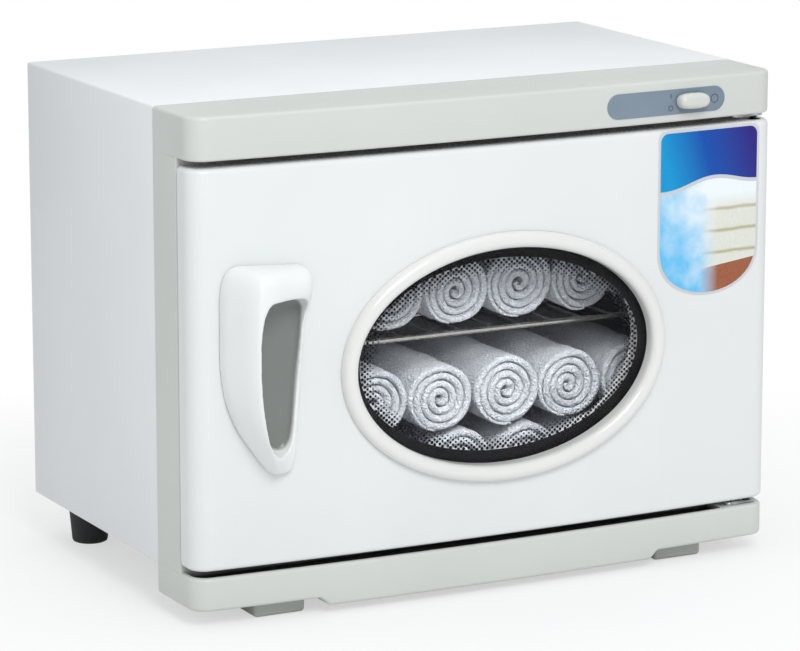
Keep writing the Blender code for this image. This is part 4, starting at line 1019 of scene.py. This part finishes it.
@dataclass
class Door:
    """The white door and what is fixed to its front."""

    edge: float = 0.0036
    hinge_round: float = 0.0078
    bezel_proud: float = 0.0068
    sleeve: float = 0.0062

    def build(self, finishes: Finishes) -> None:
        """Make the door's own pieces.

        Args:
            finishes: The cabinet's finishes.
        """
        self.body(finishes)
        self.bezel(finishes)
        self.print_on_glass(finishes)
        self.label(finishes)
        self.pull(finishes)

    def body(self, finishes: Finishes) -> None:
        """The moulded door with its window hole, bush bores and the recess for its inner panel."""
        back = DOOR_HIGH.y
        steps = 6
        rings = []
        for index in range(steps + 1):
            angle = math.pi / 2 * index / steps
            inset = self.edge * (1 - math.sin(angle))
            rings.append(self.plan(inset, back, DOOR_LOW.z + self.edge * (1 - math.cos(angle))))
        for index in range(steps, -1, -1):
            angle = math.pi / 2 * index / steps
            inset = self.edge * (1 - math.sin(angle))
            rings.append(self.plan(inset, back, DOOR_HIGH.z - self.edge * (1 - math.cos(angle))))
        piece = add_piece("door_moulding", loft(rings), finishes.door, 35.0)
        gap = Vector((0.0003, 0.0003, 0.0003))
        panel_low, panel_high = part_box("door_inner_panel")
        recess = block(panel_low - gap, panel_high + gap + Vector((0.0, 0.01, 0.0)))
        hole = loft([oval_points(self.sleeve + 0.0003, 96, y) for y in (DOOR_LOW.y - 0.02, back + 0.02)])
        cutters = [recess, hole]
        for end in ("upper", "lower"):
            low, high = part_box(f"{end}_hinge_bush")
            middle = (low + high) / 2
            bore = bmesh.new()
            reach = 0.0004
            top = DOOR_HIGH.z + 0.002 if end == "upper" else high.z + reach
            bottom = low.z - reach if end == "upper" else DOOR_LOW.z - 0.002
            place = Vector((middle.x, middle.y, (top + bottom) / 2))
            round_bar(bore, Axis.Z, place, (high.x - low.x) / 2 + 0.0003, top - bottom, 40)
            cutters.append(bore)
        carve(piece, cutters)
        soften(piece, 35.0)
        install(piece, DOOR, "door_plastic", "door_outer")

    def plan(self, inset: float, back: float, level: float) -> Section:
        """The door's outline seen from above.

        Args:
            inset: How far inside the full outline it runs, but for its back.
            back: Where its back lies.
            level: Its height.

        Returns:
            The outline's points in order.
        """
        half, radius = CURVE.half - inset, CURVE.corner - inset
        bow = CURVE.radius - inset
        centre = JOINT + CURVE.radius - CURVE.corner_reach - CURVE.bow
        turn_x = half - radius
        turn_y = centre - math.sqrt((bow - radius) ** 2 - turn_x**2)
        lean = math.atan2(turn_x, centre - turn_y)
        edge_x = bow * math.sin(lean)
        points = []
        for index in range(33):
            x = edge_x * (2 * index / 32 - 1)
            points.append((x, centre - math.sqrt(bow**2 - x * x)))
        for index in range(1, 11):
            angle = lean + (math.pi / 2 - lean) * index / 10
            points.append((turn_x + radius * math.sin(angle), turn_y - radius * math.cos(angle)))
        nose = self.hinge_round
        for index in range(9):
            angle = math.pi / 2 * index / 8
            points.append((half - nose * (1 - math.cos(angle)), back - nose * (1 - math.sin(angle))))
        points.append((-half, back))
        for index in range(10, 0, -1):
            angle = lean + (math.pi / 2 - lean) * index / 10
            points.append((-turn_x - radius * math.sin(angle), turn_y - radius * math.cos(angle)))
        return [Vector((x, y, level)) for x, y in points]

    def bezel(self, finishes: Finishes) -> None:
        """The raised oval rim with its glossy half-round section."""
        steps, turns = 128, 14
        sleeve_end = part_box("window_glass")[0].y - 0.0003
        columns = []
        for turn in range(turns + 1):
            angle = math.pi * turn / turns
            outset = BEZEL_WIDTH * (0.5 + 0.5 * math.cos(angle))
            lift = 0.0003 + (self.bezel_proud - 0.0003) * math.sin(angle) ** 0.72
            columns.append(oval_points(outset, steps, None, lift))
        columns.append(oval_points(0.0, steps, sleeve_end))
        columns.append(oval_points(self.sleeve, steps, sleeve_end))
        columns.append(oval_points(self.sleeve, steps, None, 0.0003))
        rings = [[column[index] for column in columns] for index in range(steps)]
        piece = add_piece("window_rim", loft(rings, closed=True), finishes.bezel, 50.0)
        install(piece, DOOR, "bezel_plastic", "window_bezel")

    def print_on_glass(self, finishes: Finishes) -> None:
        """The black band behind the glass and the dots that fade in from it."""
        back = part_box("window_glass")[1].y + 0.00005
        thick = 0.00012
        band_across, band_up = WINDOW.half_width - 0.0060, WINDOW.half_height - 0.0083
        steps = 96
        inner = []
        for step in range(steps):
            angle = 2 * math.pi * step / steps
            x = WINDOW.centre.x + band_across * math.cos(angle)
            inner.append((x, WINDOW.centre.z + band_up * math.sin(angle)))
        outer = [(p.x, p.z) for p in oval_points(0.0035, steps, back)]
        rings = []
        for (ix, iz), (ox, oz) in zip(inner, outer):
            rings.append([
                Vector((ix, back, iz)), Vector((ox, back, oz)),
                Vector((ox, back + thick, oz)), Vector((ix, back + thick, iz)),
            ])
        band = add_piece("window_print_band", loft(rings, closed=True), finishes.frit, 50.0)
        install(band, DOOR, "window_glass")
        dots = bmesh.new()
        pitch_x, pitch_z, fade = 0.0041, 0.00177, 0.0108
        rows = int(band_up / pitch_z) + 1
        across = int(band_across / pitch_x) + 1
        turn = Matrix.Rotation(math.radians(90.0), 4, "X")
        for row in range(-rows, rows + 1):
            shift = 0.5 * (row % 2)
            for column in range(-across, across + 1):
                x, z = (column + shift) * pitch_x, row * pitch_z
                ratio = math.hypot(x / band_across, z / band_up)
                if ratio >= 1.0 or ratio < 0.5:
                    continue
                slope = math.hypot(x / band_across**2, z / band_up**2) / ratio
                depth = (1.0 - ratio) / slope
                if depth > fade:
                    continue
                radius = 0.00128 - 0.00090 * depth / fade
                place = Vector((WINDOW.centre.x + x, back + 0.00002, WINDOW.centre.z + z))
                bmesh.ops.create_circle(
                    dots, cap_ends=True, segments=10, radius=radius, matrix=Matrix.Translation(place) @ turn
                )
        lifted = bmesh.ops.extrude_face_region(dots, geom=list(dots.faces), use_keep_orig=True)
        moved = [item for item in lifted["geom"] if isinstance(item, bmesh.types.BMVert)]
        bmesh.ops.translate(dots, verts=moved, vec=(0.0, thick, 0.0))
        bmesh.ops.recalc_face_normals(dots, faces=dots.faces)
        piece = add_piece("window_print_dots", dots, finishes.frit, 50.0)
        install(piece, DOOR, "window_glass")

    def label(self, finishes: Finishes) -> None:
        """The label on the door: a silver backing and the print laid on it."""
        for name, shrink, lift, material in (
            ("door_label_backing", 0.0, 0.00012, finishes.silver),
            ("door_label", LABEL.border, 0.00024, finishes.label),
        ):
            shape = bowed_plate(LABEL.outline(shrink), lift, 0.0001, (DOOR_HIGH.z, self.edge))
            install(add_piece(name, shape, material, 40.0), DOOR, "door_plastic")

    def pull(self, finishes: Finishes) -> None:
        """The handle: a wing over a finger pocket, softened all over like a moulding."""
        low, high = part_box("door_handle")
        stations = HandleShape(left=low.x, proud=0.0318).rings(low.z, high.z)
        piece = add_piece("door_pull", loft(stations), finishes.handle, 60.0)
        pocket = HandleShape(left=low.x, proud=0.0318).pocket(high.z)
        carve(piece, [pocket])
        remesh = piece.modifiers.new("even_skin", "REMESH")
        remesh.mode = "VOXEL"
        remesh.voxel_size = 0.00085
        smooth = piece.modifiers.new("soft_edges", "SMOOTH")
        smooth.factor = 0.6
        smooth.iterations = 7
        keep_modifiers(piece)
        piece.data.materials.clear()
        piece.data.materials.append(finishes.handle)
        piece.data.shade_smooth()
        # Painted shade: points deep in the finger pocket are marked, so the handle's material paints them grey for the
        # shade inside it.
        painted_shade_mask = piece.data.attributes.new("painted_shade", "FLOAT", "POINT")
        for vert in piece.data.vertices:
            painted_shade_mask.data[vert.index].value = HandleShape.in_pocket(vert.co, high.z)
        install(piece, DOOR, "door_plastic", "door_handle")


@dataclass(frozen=True)
class HandleShape:
    """The pull's outline and how far it stands out."""

    left: float
    proud: float
    right_top: float = -0.1427
    slope: float = 0.0022

    def rings(self, bottom: float, top: float) -> list[Section]:
        """Sections of the pull from its tip to its top.

        Args:
            bottom: The tip's height.
            top: The top's height.

        Returns:
            One ring of points for each section.
        """
        keys = (
            (0.000, 0.0390, 0.0170, 0.12, 0.0030), (0.002, 0.0335, 0.0132, 0.28, 0.0050),
            (0.008, 0.0285, 0.0108, 0.46, 0.0062), (0.017, 0.0220, 0.0092, 0.64, 0.0062),
            (0.033, 0.0115, 0.0078, 0.82, 0.0060), (0.052, 0.0038, 0.0060, 0.94, 0.0058),
            (0.074, 0.0003, 0.0043, 1.00, 0.0056), (0.097, 0.0000, 0.0026, 1.00, 0.0062),
            (0.108, 0.0000, 0.0015, 1.00, 0.0090), (0.117, 0.0000, 0.0008, 1.00, 0.0150),
            (0.128, 0.0006, 0.0000, 0.99, 0.0190), (0.137, 0.0030, 0.0004, 0.92, 0.0180),
            (0.142, 0.0068, 0.0032, 0.74, 0.0135), (0.144, 0.0120, 0.0082, 0.44, 0.0085),
        )
        rings = []
        for rise, from_left, from_right, share, rim in smooth_keys(keys, 5):
            left, right = self.left + from_left, self.right_top - from_right
            wing = self.proud * share
            ring = []
            for across, out in self.section(wing, rim):
                x = left + across * (right - left)
                tilt = self.slope * across * (rise / (top - bottom)) ** 5
                ring.append(Vector((x, CURVE.face(x) - out, min(top, bottom + rise) - tilt)))
            rings.append(ring)
        return rings

    def section(self, wing: float, rim: float) -> list[tuple[float, float]]:
        """One section, as shares across and distances out from the door.

        Args:
            wing: How far the wing stands out.
            rim: How far the low rim stands out.

        Returns:
            The section's points in order.
        """
        keys = (
            (0.0, 0.0004), (0.02, 0.24 * wing), (0.085, 0.52 * wing), (0.155, 0.79 * wing), (0.225, 0.97 * wing),
            (0.28, wing), (0.45, 0.80 * wing + 0.20 * rim), (0.62, 0.42 * wing + 0.58 * rim),
            (0.80, 0.10 * wing + 0.92 * rim), (0.92, 0.92 * rim), (0.98, 0.6 * rim), (1.0, 0.0004),
        )
        points = [(a, b) for a, b in smooth_keys(keys, 3)]
        return points + [(share, 0.0004) for share in (0.8, 0.6, 0.4, 0.2)]

    @staticmethod
    def mouth(top: float) -> list[tuple[float, float]]:
        """The pocket's outline, for a pull with its top at a height."""
        ceiling = top - 0.0235
        keys = (
            (-0.1852, ceiling - 0.0085), (-0.1805, ceiling - 0.0012), (-0.1720, ceiling), (-0.1545, ceiling),
            (-0.1484, ceiling - 0.0040), (-0.1476, ceiling - 0.0120), (-0.1486, 0.1930), (-0.1516, 0.1620),
            (-0.1555, 0.1310), (-0.1595, 0.1205), (-0.1660, 0.1176), (-0.1728, 0.1200), (-0.1788, 0.1290),
            (-0.1830, 0.1430), (-0.1864, 0.1630), (-0.1878, 0.1862), (-0.1872, 0.2030),
        )
        return smooth_keys([*keys, keys[0]], 4)[:-1]

    @classmethod
    def in_pocket(cls, point: Vector, top: float) -> float:
        """How deep in the pocket a point lies, from 0 at its rim to 1.

        Args:
            point: The point.
            top: The pull's top.

        Returns:
            The share.
        """
        outline = cls.mouth(top)
        inside = False
        for (ax, az), (bx, bz) in zip(outline, outline[1:] + outline[:1]):
            if (az > point.z) != (bz > point.z) and point.x < ax + (bx - ax) * (point.z - az) / (bz - az):
                inside = not inside
        depth = point.y - (CURVE.face(point.x) - 0.0048)
        return min(1.0, max(0.0, depth / 0.002)) if inside else 0.0

    def pocket(self, top: float) -> bmesh.types.BMesh:
        """The finger pocket, as a shape to take away.

        Args:
            top: The pull's top.

        Returns:
            The closed mesh.
        """
        outline = self.mouth(top)
        front = CURVE.face(self.left) - self.proud - 0.01
        rings = []
        for depth, shrink in ((front, -0.0035), (JOINT - 0.0760, -0.0005), (JOINT - 0.0665, 0.0012), (JOINT - 0.0640, 0.0048)):
            ring = []
            for x, z in outline:
                inward = Vector((-0.163 - x, (0.170 - z) * 0.45)).normalized()
                ring.append(Vector((x + inward.x * shrink, depth, z + inward.y * shrink)))
            rings.append(ring)
        return loft(rings)


def smooth_keys(keys: Sequence[tuple[float, ...]], steps: int) -> list[tuple[float, ...]]:
    """Points on a smooth curve through key values.

    Args:
        keys: The values to pass through, in order.
        steps: How many points there are from one key to the next.

    Returns:
        The points, ends included.
    """
    made = []
    count = len(keys)
    for index in range(count - 1):
        before, start, end, after = keys[max(index - 1, 0)], keys[index], keys[index + 1], keys[min(index + 2, count - 1)]
        for step in range(steps):
            t = step / steps
            point = []
            for a, b, c, d in zip(before, start, end, after):
                bend = 2 * b + (c - a) * t + (2 * a - 5 * b + 4 * c - d) * t**2 + (3 * b - a - 3 * c + d) * t**3
                point.append(bend / 2)
            made.append(tuple(point))
    made.append(tuple(keys[-1]))
    return made


# ---------------------------------------------------------------- controls, feet and small pieces


@dataclass
class Controls:
    """The rocker and the plain marks on its plate."""

    height: float = 0.0112
    plate_lift: float = 0.0005
    mark_step: float = 0.0042

    def build(self, finishes: Finishes) -> None:
        """Make the rocker and the marks.

        Args:
            finishes: The cabinet's finishes.
        """
        low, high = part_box("control_plate")
        middle, half = (low.z + high.z) / 2, (high.z - low.z) / 2
        turns = [math.pi * step / 16 for step in range(17)]
        outline = [(high.x - half + half * math.sin(a), middle + half * math.cos(a)) for a in turns]
        outline += [(low.x + half - half * math.sin(a), middle - half * math.cos(a)) for a in turns]
        plate = add_piece("blue_plate", bowed_plate(outline, self.plate_lift, 0.0008), finishes.plate, 40.0)
        install(plate, CABINET, "control_plate_paint", "control_plate")
        self.rocker(finishes)
        self.marks(finishes)

    def rocker(self, finishes: Finishes) -> None:
        """The soft white rocker, tilted to off as its node is."""
        joint = next(row for row in frame["joints"] if row["name"] == "power_rocker")
        pivot = Vector(joint["pos_m"])
        half_length, half_height = 0.0120, self.height / 2
        rings = []
        for out, shrink in ((0.0019, 0.0006), (0.0022, 0.0001), (0.0052, 0.0), (0.0078, 0.0005), (0.0092, 0.0014), (0.0099, 0.0027), (0.0101, 0.0042)):
            ring = []
            for step in range(48):
                angle = 2 * math.pi * step / 48
                side = math.copysign(abs(math.cos(angle)) ** 0.62, math.cos(angle))
                up = math.copysign(abs(math.sin(angle)) ** 0.80, math.sin(angle))
                ring.append(Vector((side * (half_length - shrink), -out, up * (half_height - shrink))))
            rings.append(ring)
        shape = loft(rings)
        neck = bmesh.ops.create_cube(shape, size=1.0, matrix=Matrix.LocRotScale(Vector((0, 0.001, 0)), None, Vector((0.011, 0.0088, 0.0038))))
        bmesh.ops.recalc_face_normals(shape, faces=faces_of(neck["verts"]))
        tilt = Matrix.Translation(pivot) @ Matrix.Rotation(math.radians(-6.0), 4, "X")
        bmesh.ops.transform(shape, matrix=tilt, verts=shape.verts)
        install(add_piece("rocker_cap", shape, finishes.knob, 45.0), ROCKER, "rocker_plastic", "switch_rocker")

    def marks(self, finishes: Finishes) -> None:
        """A bar for on, a ring for off and a plain ring at the plate's end, standing a hair above it."""
        low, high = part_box("control_plate")
        centre = (low.z + high.z) / 2
        body_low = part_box("switch_body")[0]
        left = body_low.x - 0.0065
        bar = bmesh.new()
        place = Vector((left, CURVE.face(left) - self.plate_lift, centre + self.mark_step))
        size = Vector((0.0007, 0.00016, 0.0030))
        bmesh.ops.create_cube(bar, size=1.0, matrix=Matrix.LocRotScale(place, None, size))
        install(add_piece("mark_on", bar, finishes.mark), CABINET, "control_plate_paint")
        for name, x, z, radius in (
            ("mark_off", left, centre - self.mark_step, 0.0014),
            ("mark_ring", high.x - 0.0085, centre, 0.0026),
        ):
            rings = []
            for step in range(32):
                angle = 2 * math.pi * step / 32
                ring = []
                for reach, lift in ((radius, 0.00008), (radius + 0.0006, 0.00008), (radius + 0.0006, 0.0), (radius, 0.0)):
                    px = x + reach * math.cos(angle)
                    ring.append(Vector((px, CURVE.face(px) - self.plate_lift - lift, z + reach * math.sin(angle))))
                rings.append(ring)
            install(add_piece(name, loft(rings, closed=True), finishes.mark), CABINET, "control_plate_paint")


@dataclass
class Feet:
    """The flat pads in front and the tapered rubber feet behind."""

    pad_edge: float = 0.0028
    recess: float = 0.0062
    recess_depth: float = 0.010

    def build(self, finishes: Finishes) -> None:
        """Make the four feet.

        Args:
            finishes: The cabinet's finishes.
        """
        for side in ("left", "right"):
            node = f"front_{side}_foot"
            low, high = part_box(node)
            shape = block(low, high)
            bevel_edges(shape, list(shape.edges), self.pad_edge, 5)
            install(add_piece(f"{node}_pad", shape, finishes.pad, 50.0), CABINET, "grey_foot_rubber", node)
            node = f"rear_{side}_foot"
            low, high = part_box(node)
            self.tapered(node, low, high, finishes)

    def tapered(self, node: str, low: Vector, high: Vector, finishes: Finishes) -> None:
        """One rear foot, turned from its profile.

        Args:
            node: The node it replaces.
            low: The node's lowest corner.
            high: The node's highest corner.
            finishes: The cabinet's finishes.
        """
        middle = (low + high) / 2
        top_radius = (high.x - low.x) / 2
        foot_radius = top_radius - 0.003
        profile = [
            (0.0022, self.recess_depth), (self.recess, self.recess_depth), (self.recess, 0.0008), (self.recess + 0.0008, 0.0),
            (foot_radius - 0.0018, 0.0), (foot_radius - 0.0005, 0.0006), (foot_radius, 0.0020), (foot_radius + 0.0018, 0.022),
            (top_radius - 0.0004, 0.0295), (top_radius, 0.0300), (top_radius, high.z - 0.0006), (top_radius - 0.0006, high.z),
            (0.0022, high.z),
        ]
        rings = []
        for radius, height in profile:
            ring = []
            for step in range(64):
                angle = 2 * math.pi * step / 64
                ring.append(Vector((middle.x + radius * math.cos(angle), middle.y + radius * math.sin(angle), height)))
            rings.append(ring)
        shape = loft(rings, closed=True)
        install(add_piece(f"{node}_rubber", shape, finishes.rubber, 35.0), CABINET, "black_rubber", node)


# ---------------------------------------------------------------- towels


@dataclass(frozen=True)
class Roll:
    """Where one rolled towel lies."""

    name: str
    x: float
    z: float
    body: str
    radius: float
    turn: float
    yaw: float


@dataclass
class Towels:
    """Rolled white towels on the chamber's floor and on the shelf."""

    pitch: float = 0.0516
    cloth: float = 0.0058
    length: float = 0.190
    front_gap: float = 0.012
    turns: float = 4.3

    def build(self, finishes: Finishes) -> None:
        """Lay out and roll the towels.

        Args:
            finishes: The cabinet's finishes.
        """
        rng = random.Random(7)
        noise.seed_set(7)
        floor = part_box("inner_liner")[0].z + 0.0095
        shelf_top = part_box("wire_shelf")[1].z
        rows = (
            ("floor", floor, -0.1545, 7, CABINET), ("second", floor + 0.0500, -0.1190, 6, CABINET),
            ("shelf", shelf_top, -0.1600, 7, SHELF), ("top", shelf_top + 0.0470, -0.1330, 6, SHELF),
        )
        for label, level, first, count, body in rows:
            for index in range(count):
                radius = 0.0258 + rng.uniform(-0.0006, 0.0006)
                roll = Roll(
                    f"towel_{label}_{index + 1}", first + index * self.pitch + rng.uniform(-0.0006, 0.0006),
                    level + radius + rng.uniform(0.0008, 0.0022), body, radius,
                    rng.uniform(-0.35, 0.15) - math.pi * (0.5 + 2 * self.turns), rng.uniform(-0.003, 0.003),
                )
                self.roll(roll, rng, finishes)

    def roll(self, roll: Roll, rng: random.Random, finishes: Finishes) -> None:
        """One towel, wound from a long strip of cloth.

        Args:
            roll: Where it lies.
            rng: The seeded source of its small differences.
            finishes: The cabinet's finishes.
        """
        hidden = roll.name.startswith("towel_top")
        around, along = (16, 12) if hidden else (28, 30)
        steps = int(self.turns * around)
        core = roll.radius + self.cloth * 0.5 - self.cloth * self.turns
        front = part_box("inner_liner")[0].y + self.front_gap + rng.uniform(0.0, 0.008)
        seed = Vector((rng.uniform(0, 9), rng.uniform(0, 9), rng.uniform(0, 9)))
        rings = []
        for step in range(steps + 1):
            share = step / steps
            angle = roll.turn + 2 * math.pi * self.turns * share
            half = self.cloth * 0.44 * min(1.0, 0.4 + 5 * share, 0.25 + 9 * (1 - share))
            tail = max(0.0, 1.0 - (1.0 - share) * self.turns / 0.3)
            radius = core + self.cloth * (self.turns * share - 0.44 - 0.55 * tail**2)
            lead = front + 0.0016 * noise.noise(Vector((angle * 0.9, 0.0, 0.0)) + seed) + 0.0022 * (1 - share)
            ring = []
            for y, reach in self.section(lead, half, along):
                out = radius + reach
                point = Vector((roll.x + out * math.cos(angle), y, roll.z + 0.975 * out * math.sin(angle)))
                point.x += roll.yaw * (y - front) / self.length
                point += noise.noise_vector(point * 38 + seed) * 0.0011 + noise.noise_vector(point * 240 + seed) * 0.00035
                ring.append(point)
            rings.append(ring)
        piece = add_piece(roll.name, loft(rings), finishes.terry, 80.0)
        install(piece, roll.body, "glass_wool")

    def section(self, front: float, half: float, along: int) -> list[tuple[float, float]]:
        """The cloth's long section, with soft rounded ends.

        Args:
            front: Where its front end lies.
            half: Half its thickness.
            along: How many steps it takes along its length.

        Returns:
            Places along the roll and distances from the cloth's middle.
        """
        back = front + self.length
        places = [front + half + (self.length - 2 * half) * (step / along) ** 1.6 for step in range(along + 1)]
        ends = [math.radians(angle) for angle in (30, 60, 90, 120, 150)]
        return [
            *((y, half) for y in places),
            *((back - half + half * math.sin(a), half * math.cos(a)) for a in ends),
            *((y, -half) for y in reversed(places)),
            *((front + half - half * math.sin(a), -half * math.cos(a)) for a in ends),
        ]


# ---------------------------------------------------------------- the nodes that stay


def dress_nodes(finishes: Finishes) -> None:
    """Give every remaining CAD node its finish.

    Args:
        finishes: The cabinet's finishes.
    """
    smooth = {
        "wire_shelf": finishes.chrome, "cable_gland": finishes.black, "thermostat": finishes.ceramic,
        "thermal_fuse": finishes.zinc, "window_retainer": finishes.sleeve,
        "outer_shell": finishes.case_paint, "upper_hinge_bush": finishes.black, "lower_hinge_bush": finishes.black,
    }
    plain = {
        "back_panel": finishes.case_paint, "bottom_panel": finishes.case_paint, "inner_liner": finishes.liner,
        "insulation_wrap": finishes.wool, "rear_insulation": finishes.wool, "heater_pad": finishes.silicone,
        "terminal_block": finishes.ceramic, "shelf_rail_left": finishes.liner, "shelf_rail_right": finishes.liner,
        "switch_body": finishes.black, "magnet_catch_lower": finishes.black, "magnet_catch_upper": finishes.black,
        "door_inner_panel": finishes.panel_paint, "door_gasket": finishes.seal, "window_glass": finishes.glass,
    }
    for name in frame["nodes"]:
        if any(word in name for word in ("screw", "bracket", "pin", "strike")):
            smooth[name] = finishes.zinc
    for name, material in smooth.items():
        smooth_copy(name, material, 30.0)
    for name, material in plain.items():
        node = frame["nodes"][name]
        node.data.materials.clear()
        node.data.materials.append(material)
        LOG.info("%s keeps its shape with %s", name, material.name)


# ---------------------------------------------------------------- studio


@dataclass
class Studio:
    """The floor, the lamps and the camera."""

    focal: float = 184.93
    azimuth: float = 0.47912
    pitch: float = 0.21427
    shadow_reach: float = 0.22
    white_reach: float = 0.60

    def build(self) -> None:
        """Set up the floor, the light and the camera."""
        self.camera()
        self.floor()
        self.world()
        self.lamps()
        bpy.context.scene.view_settings.view_transform = "Standard"

    def camera(self) -> None:
        """A long lens, from the left and a little above."""
        data = bpy.data.cameras.new("studio_camera")
        data.lens = self.focal
        data.sensor_width = 36.0
        data.clip_end = 50.0
        eye = bpy.data.objects.new("studio_camera", data)
        bpy.context.scene.collection.objects.link(eye)
        eye.location = (-1.3201, JOINT - 2.4641, 0.7837)
        flat = math.cos(self.pitch)
        ahead = Vector((math.sin(self.azimuth) * flat, math.cos(self.azimuth) * flat, -math.sin(self.pitch)))
        eye.rotation_mode = "QUATERNION"
        eye.rotation_quaternion = ahead.to_track_quat("-Z", "Y")
        bpy.context.scene.camera = eye

    def floor(self) -> None:
        """A pale floor that keeps the cabinet's shadow and fades to white away from it."""
        shape = bmesh.new()
        bmesh.ops.create_grid(shape, x_segments=1, y_segments=1, size=6.0)
        made, kit, shader, place = start_material("studio_floor")
        kit.link(kit.blend(kit.noise(place, 2.0), (0.86, 0.86, 0.86), (0.88, 0.88, 0.88)), shader.inputs["Base Color"])
        shader.inputs["Roughness"].default_value = 0.8
        shader.inputs["Specular IOR Level"].default_value = 0.1
        distance = kit.add("ShaderNodeVectorMath", operation="LENGTH")
        kit.link(place, distance.inputs[0])
        away = kit.remap(distance.outputs["Value"], self.shadow_reach, self.white_reach, 0.55, 1.0)
        seen = kit.add("ShaderNodeLightPath").outputs["Is Camera Ray"]
        glow = kit.add("ShaderNodeEmission")
        mix = kit.add("ShaderNodeMixShader")
        kit.link(kit.maths("MULTIPLY", away, seen), mix.inputs[0])
        kit.link(shader.outputs[0], mix.inputs[1])
        kit.link(glow.outputs[0], mix.inputs[2])
        kit.link(mix.outputs[0], made.node_tree.nodes["Material Output"].inputs["Surface"])
        add_piece("studio_floor", shape, made)

    def world(self) -> None:
        """Even light all round, seen as white behind the cabinet."""
        world = bpy.data.worlds.new("studio_world")
        bpy.context.scene.world = world
        world.use_nodes = True
        kit = NodeKit(world.node_tree)
        light = world.node_tree.nodes["Background"]
        light.inputs["Color"].default_value = (0.96, 0.98, 1.0, 1.0)
        light.inputs["Strength"].default_value = 0.66
        white = kit.add("ShaderNodeBackground")
        white.inputs["Color"].default_value = (1.0, 1.0, 1.0, 1.0)
        white.inputs["Strength"].default_value = 1.0
        path = kit.add("ShaderNodeLightPath")
        seen = kit.maths("MAXIMUM", path.outputs["Is Camera Ray"], path.outputs["Is Transmission Ray"])
        mix = kit.add("ShaderNodeMixShader")
        kit.link(seen, mix.inputs[0])
        kit.link(light.outputs[0], mix.inputs[1])
        kit.link(white.outputs[0], mix.inputs[2])
        kit.link(mix.outputs[0], world.node_tree.nodes["World Output"].inputs["Surface"])

    def lamps(self) -> None:
        """Two large soft lamps: one high in front, one above."""
        target = Vector((0.0, 0.0, 0.17))
        for name, place, size, power in (
            ("key_softbox", Vector((-0.45, -1.95, 1.80)), 1.0, 29.5),
            ("top_softbox", Vector((0.1, 0.1, 2.0)), 1.6, 6.0),
        ):
            data = bpy.data.lights.new(name, "AREA")
            data.shape = "SQUARE"
            data.size = size
            data.energy = power
            lamp = bpy.data.objects.new(name, data)
            bpy.context.scene.collection.objects.link(lamp)
            lamp.location = place
            lamp.rotation_mode = "QUATERNION"
            lamp.rotation_quaternion = (target - place).to_track_quat("-Z", "Y")


def main() -> None:
    """Build the studio and every piece of the cabinet, in order."""
    logging.basicConfig(level=logging.INFO, format="%(message)s")
    Studio().build()
    finishes = Finishes()
    FrontMoulding().build(finishes)
    Door().build(finishes)
    Controls().build(finishes)
    Feet().build(finishes)
    dress_nodes(finishes)
    Towels().build(finishes)


if __name__ == "__main__":
    main()
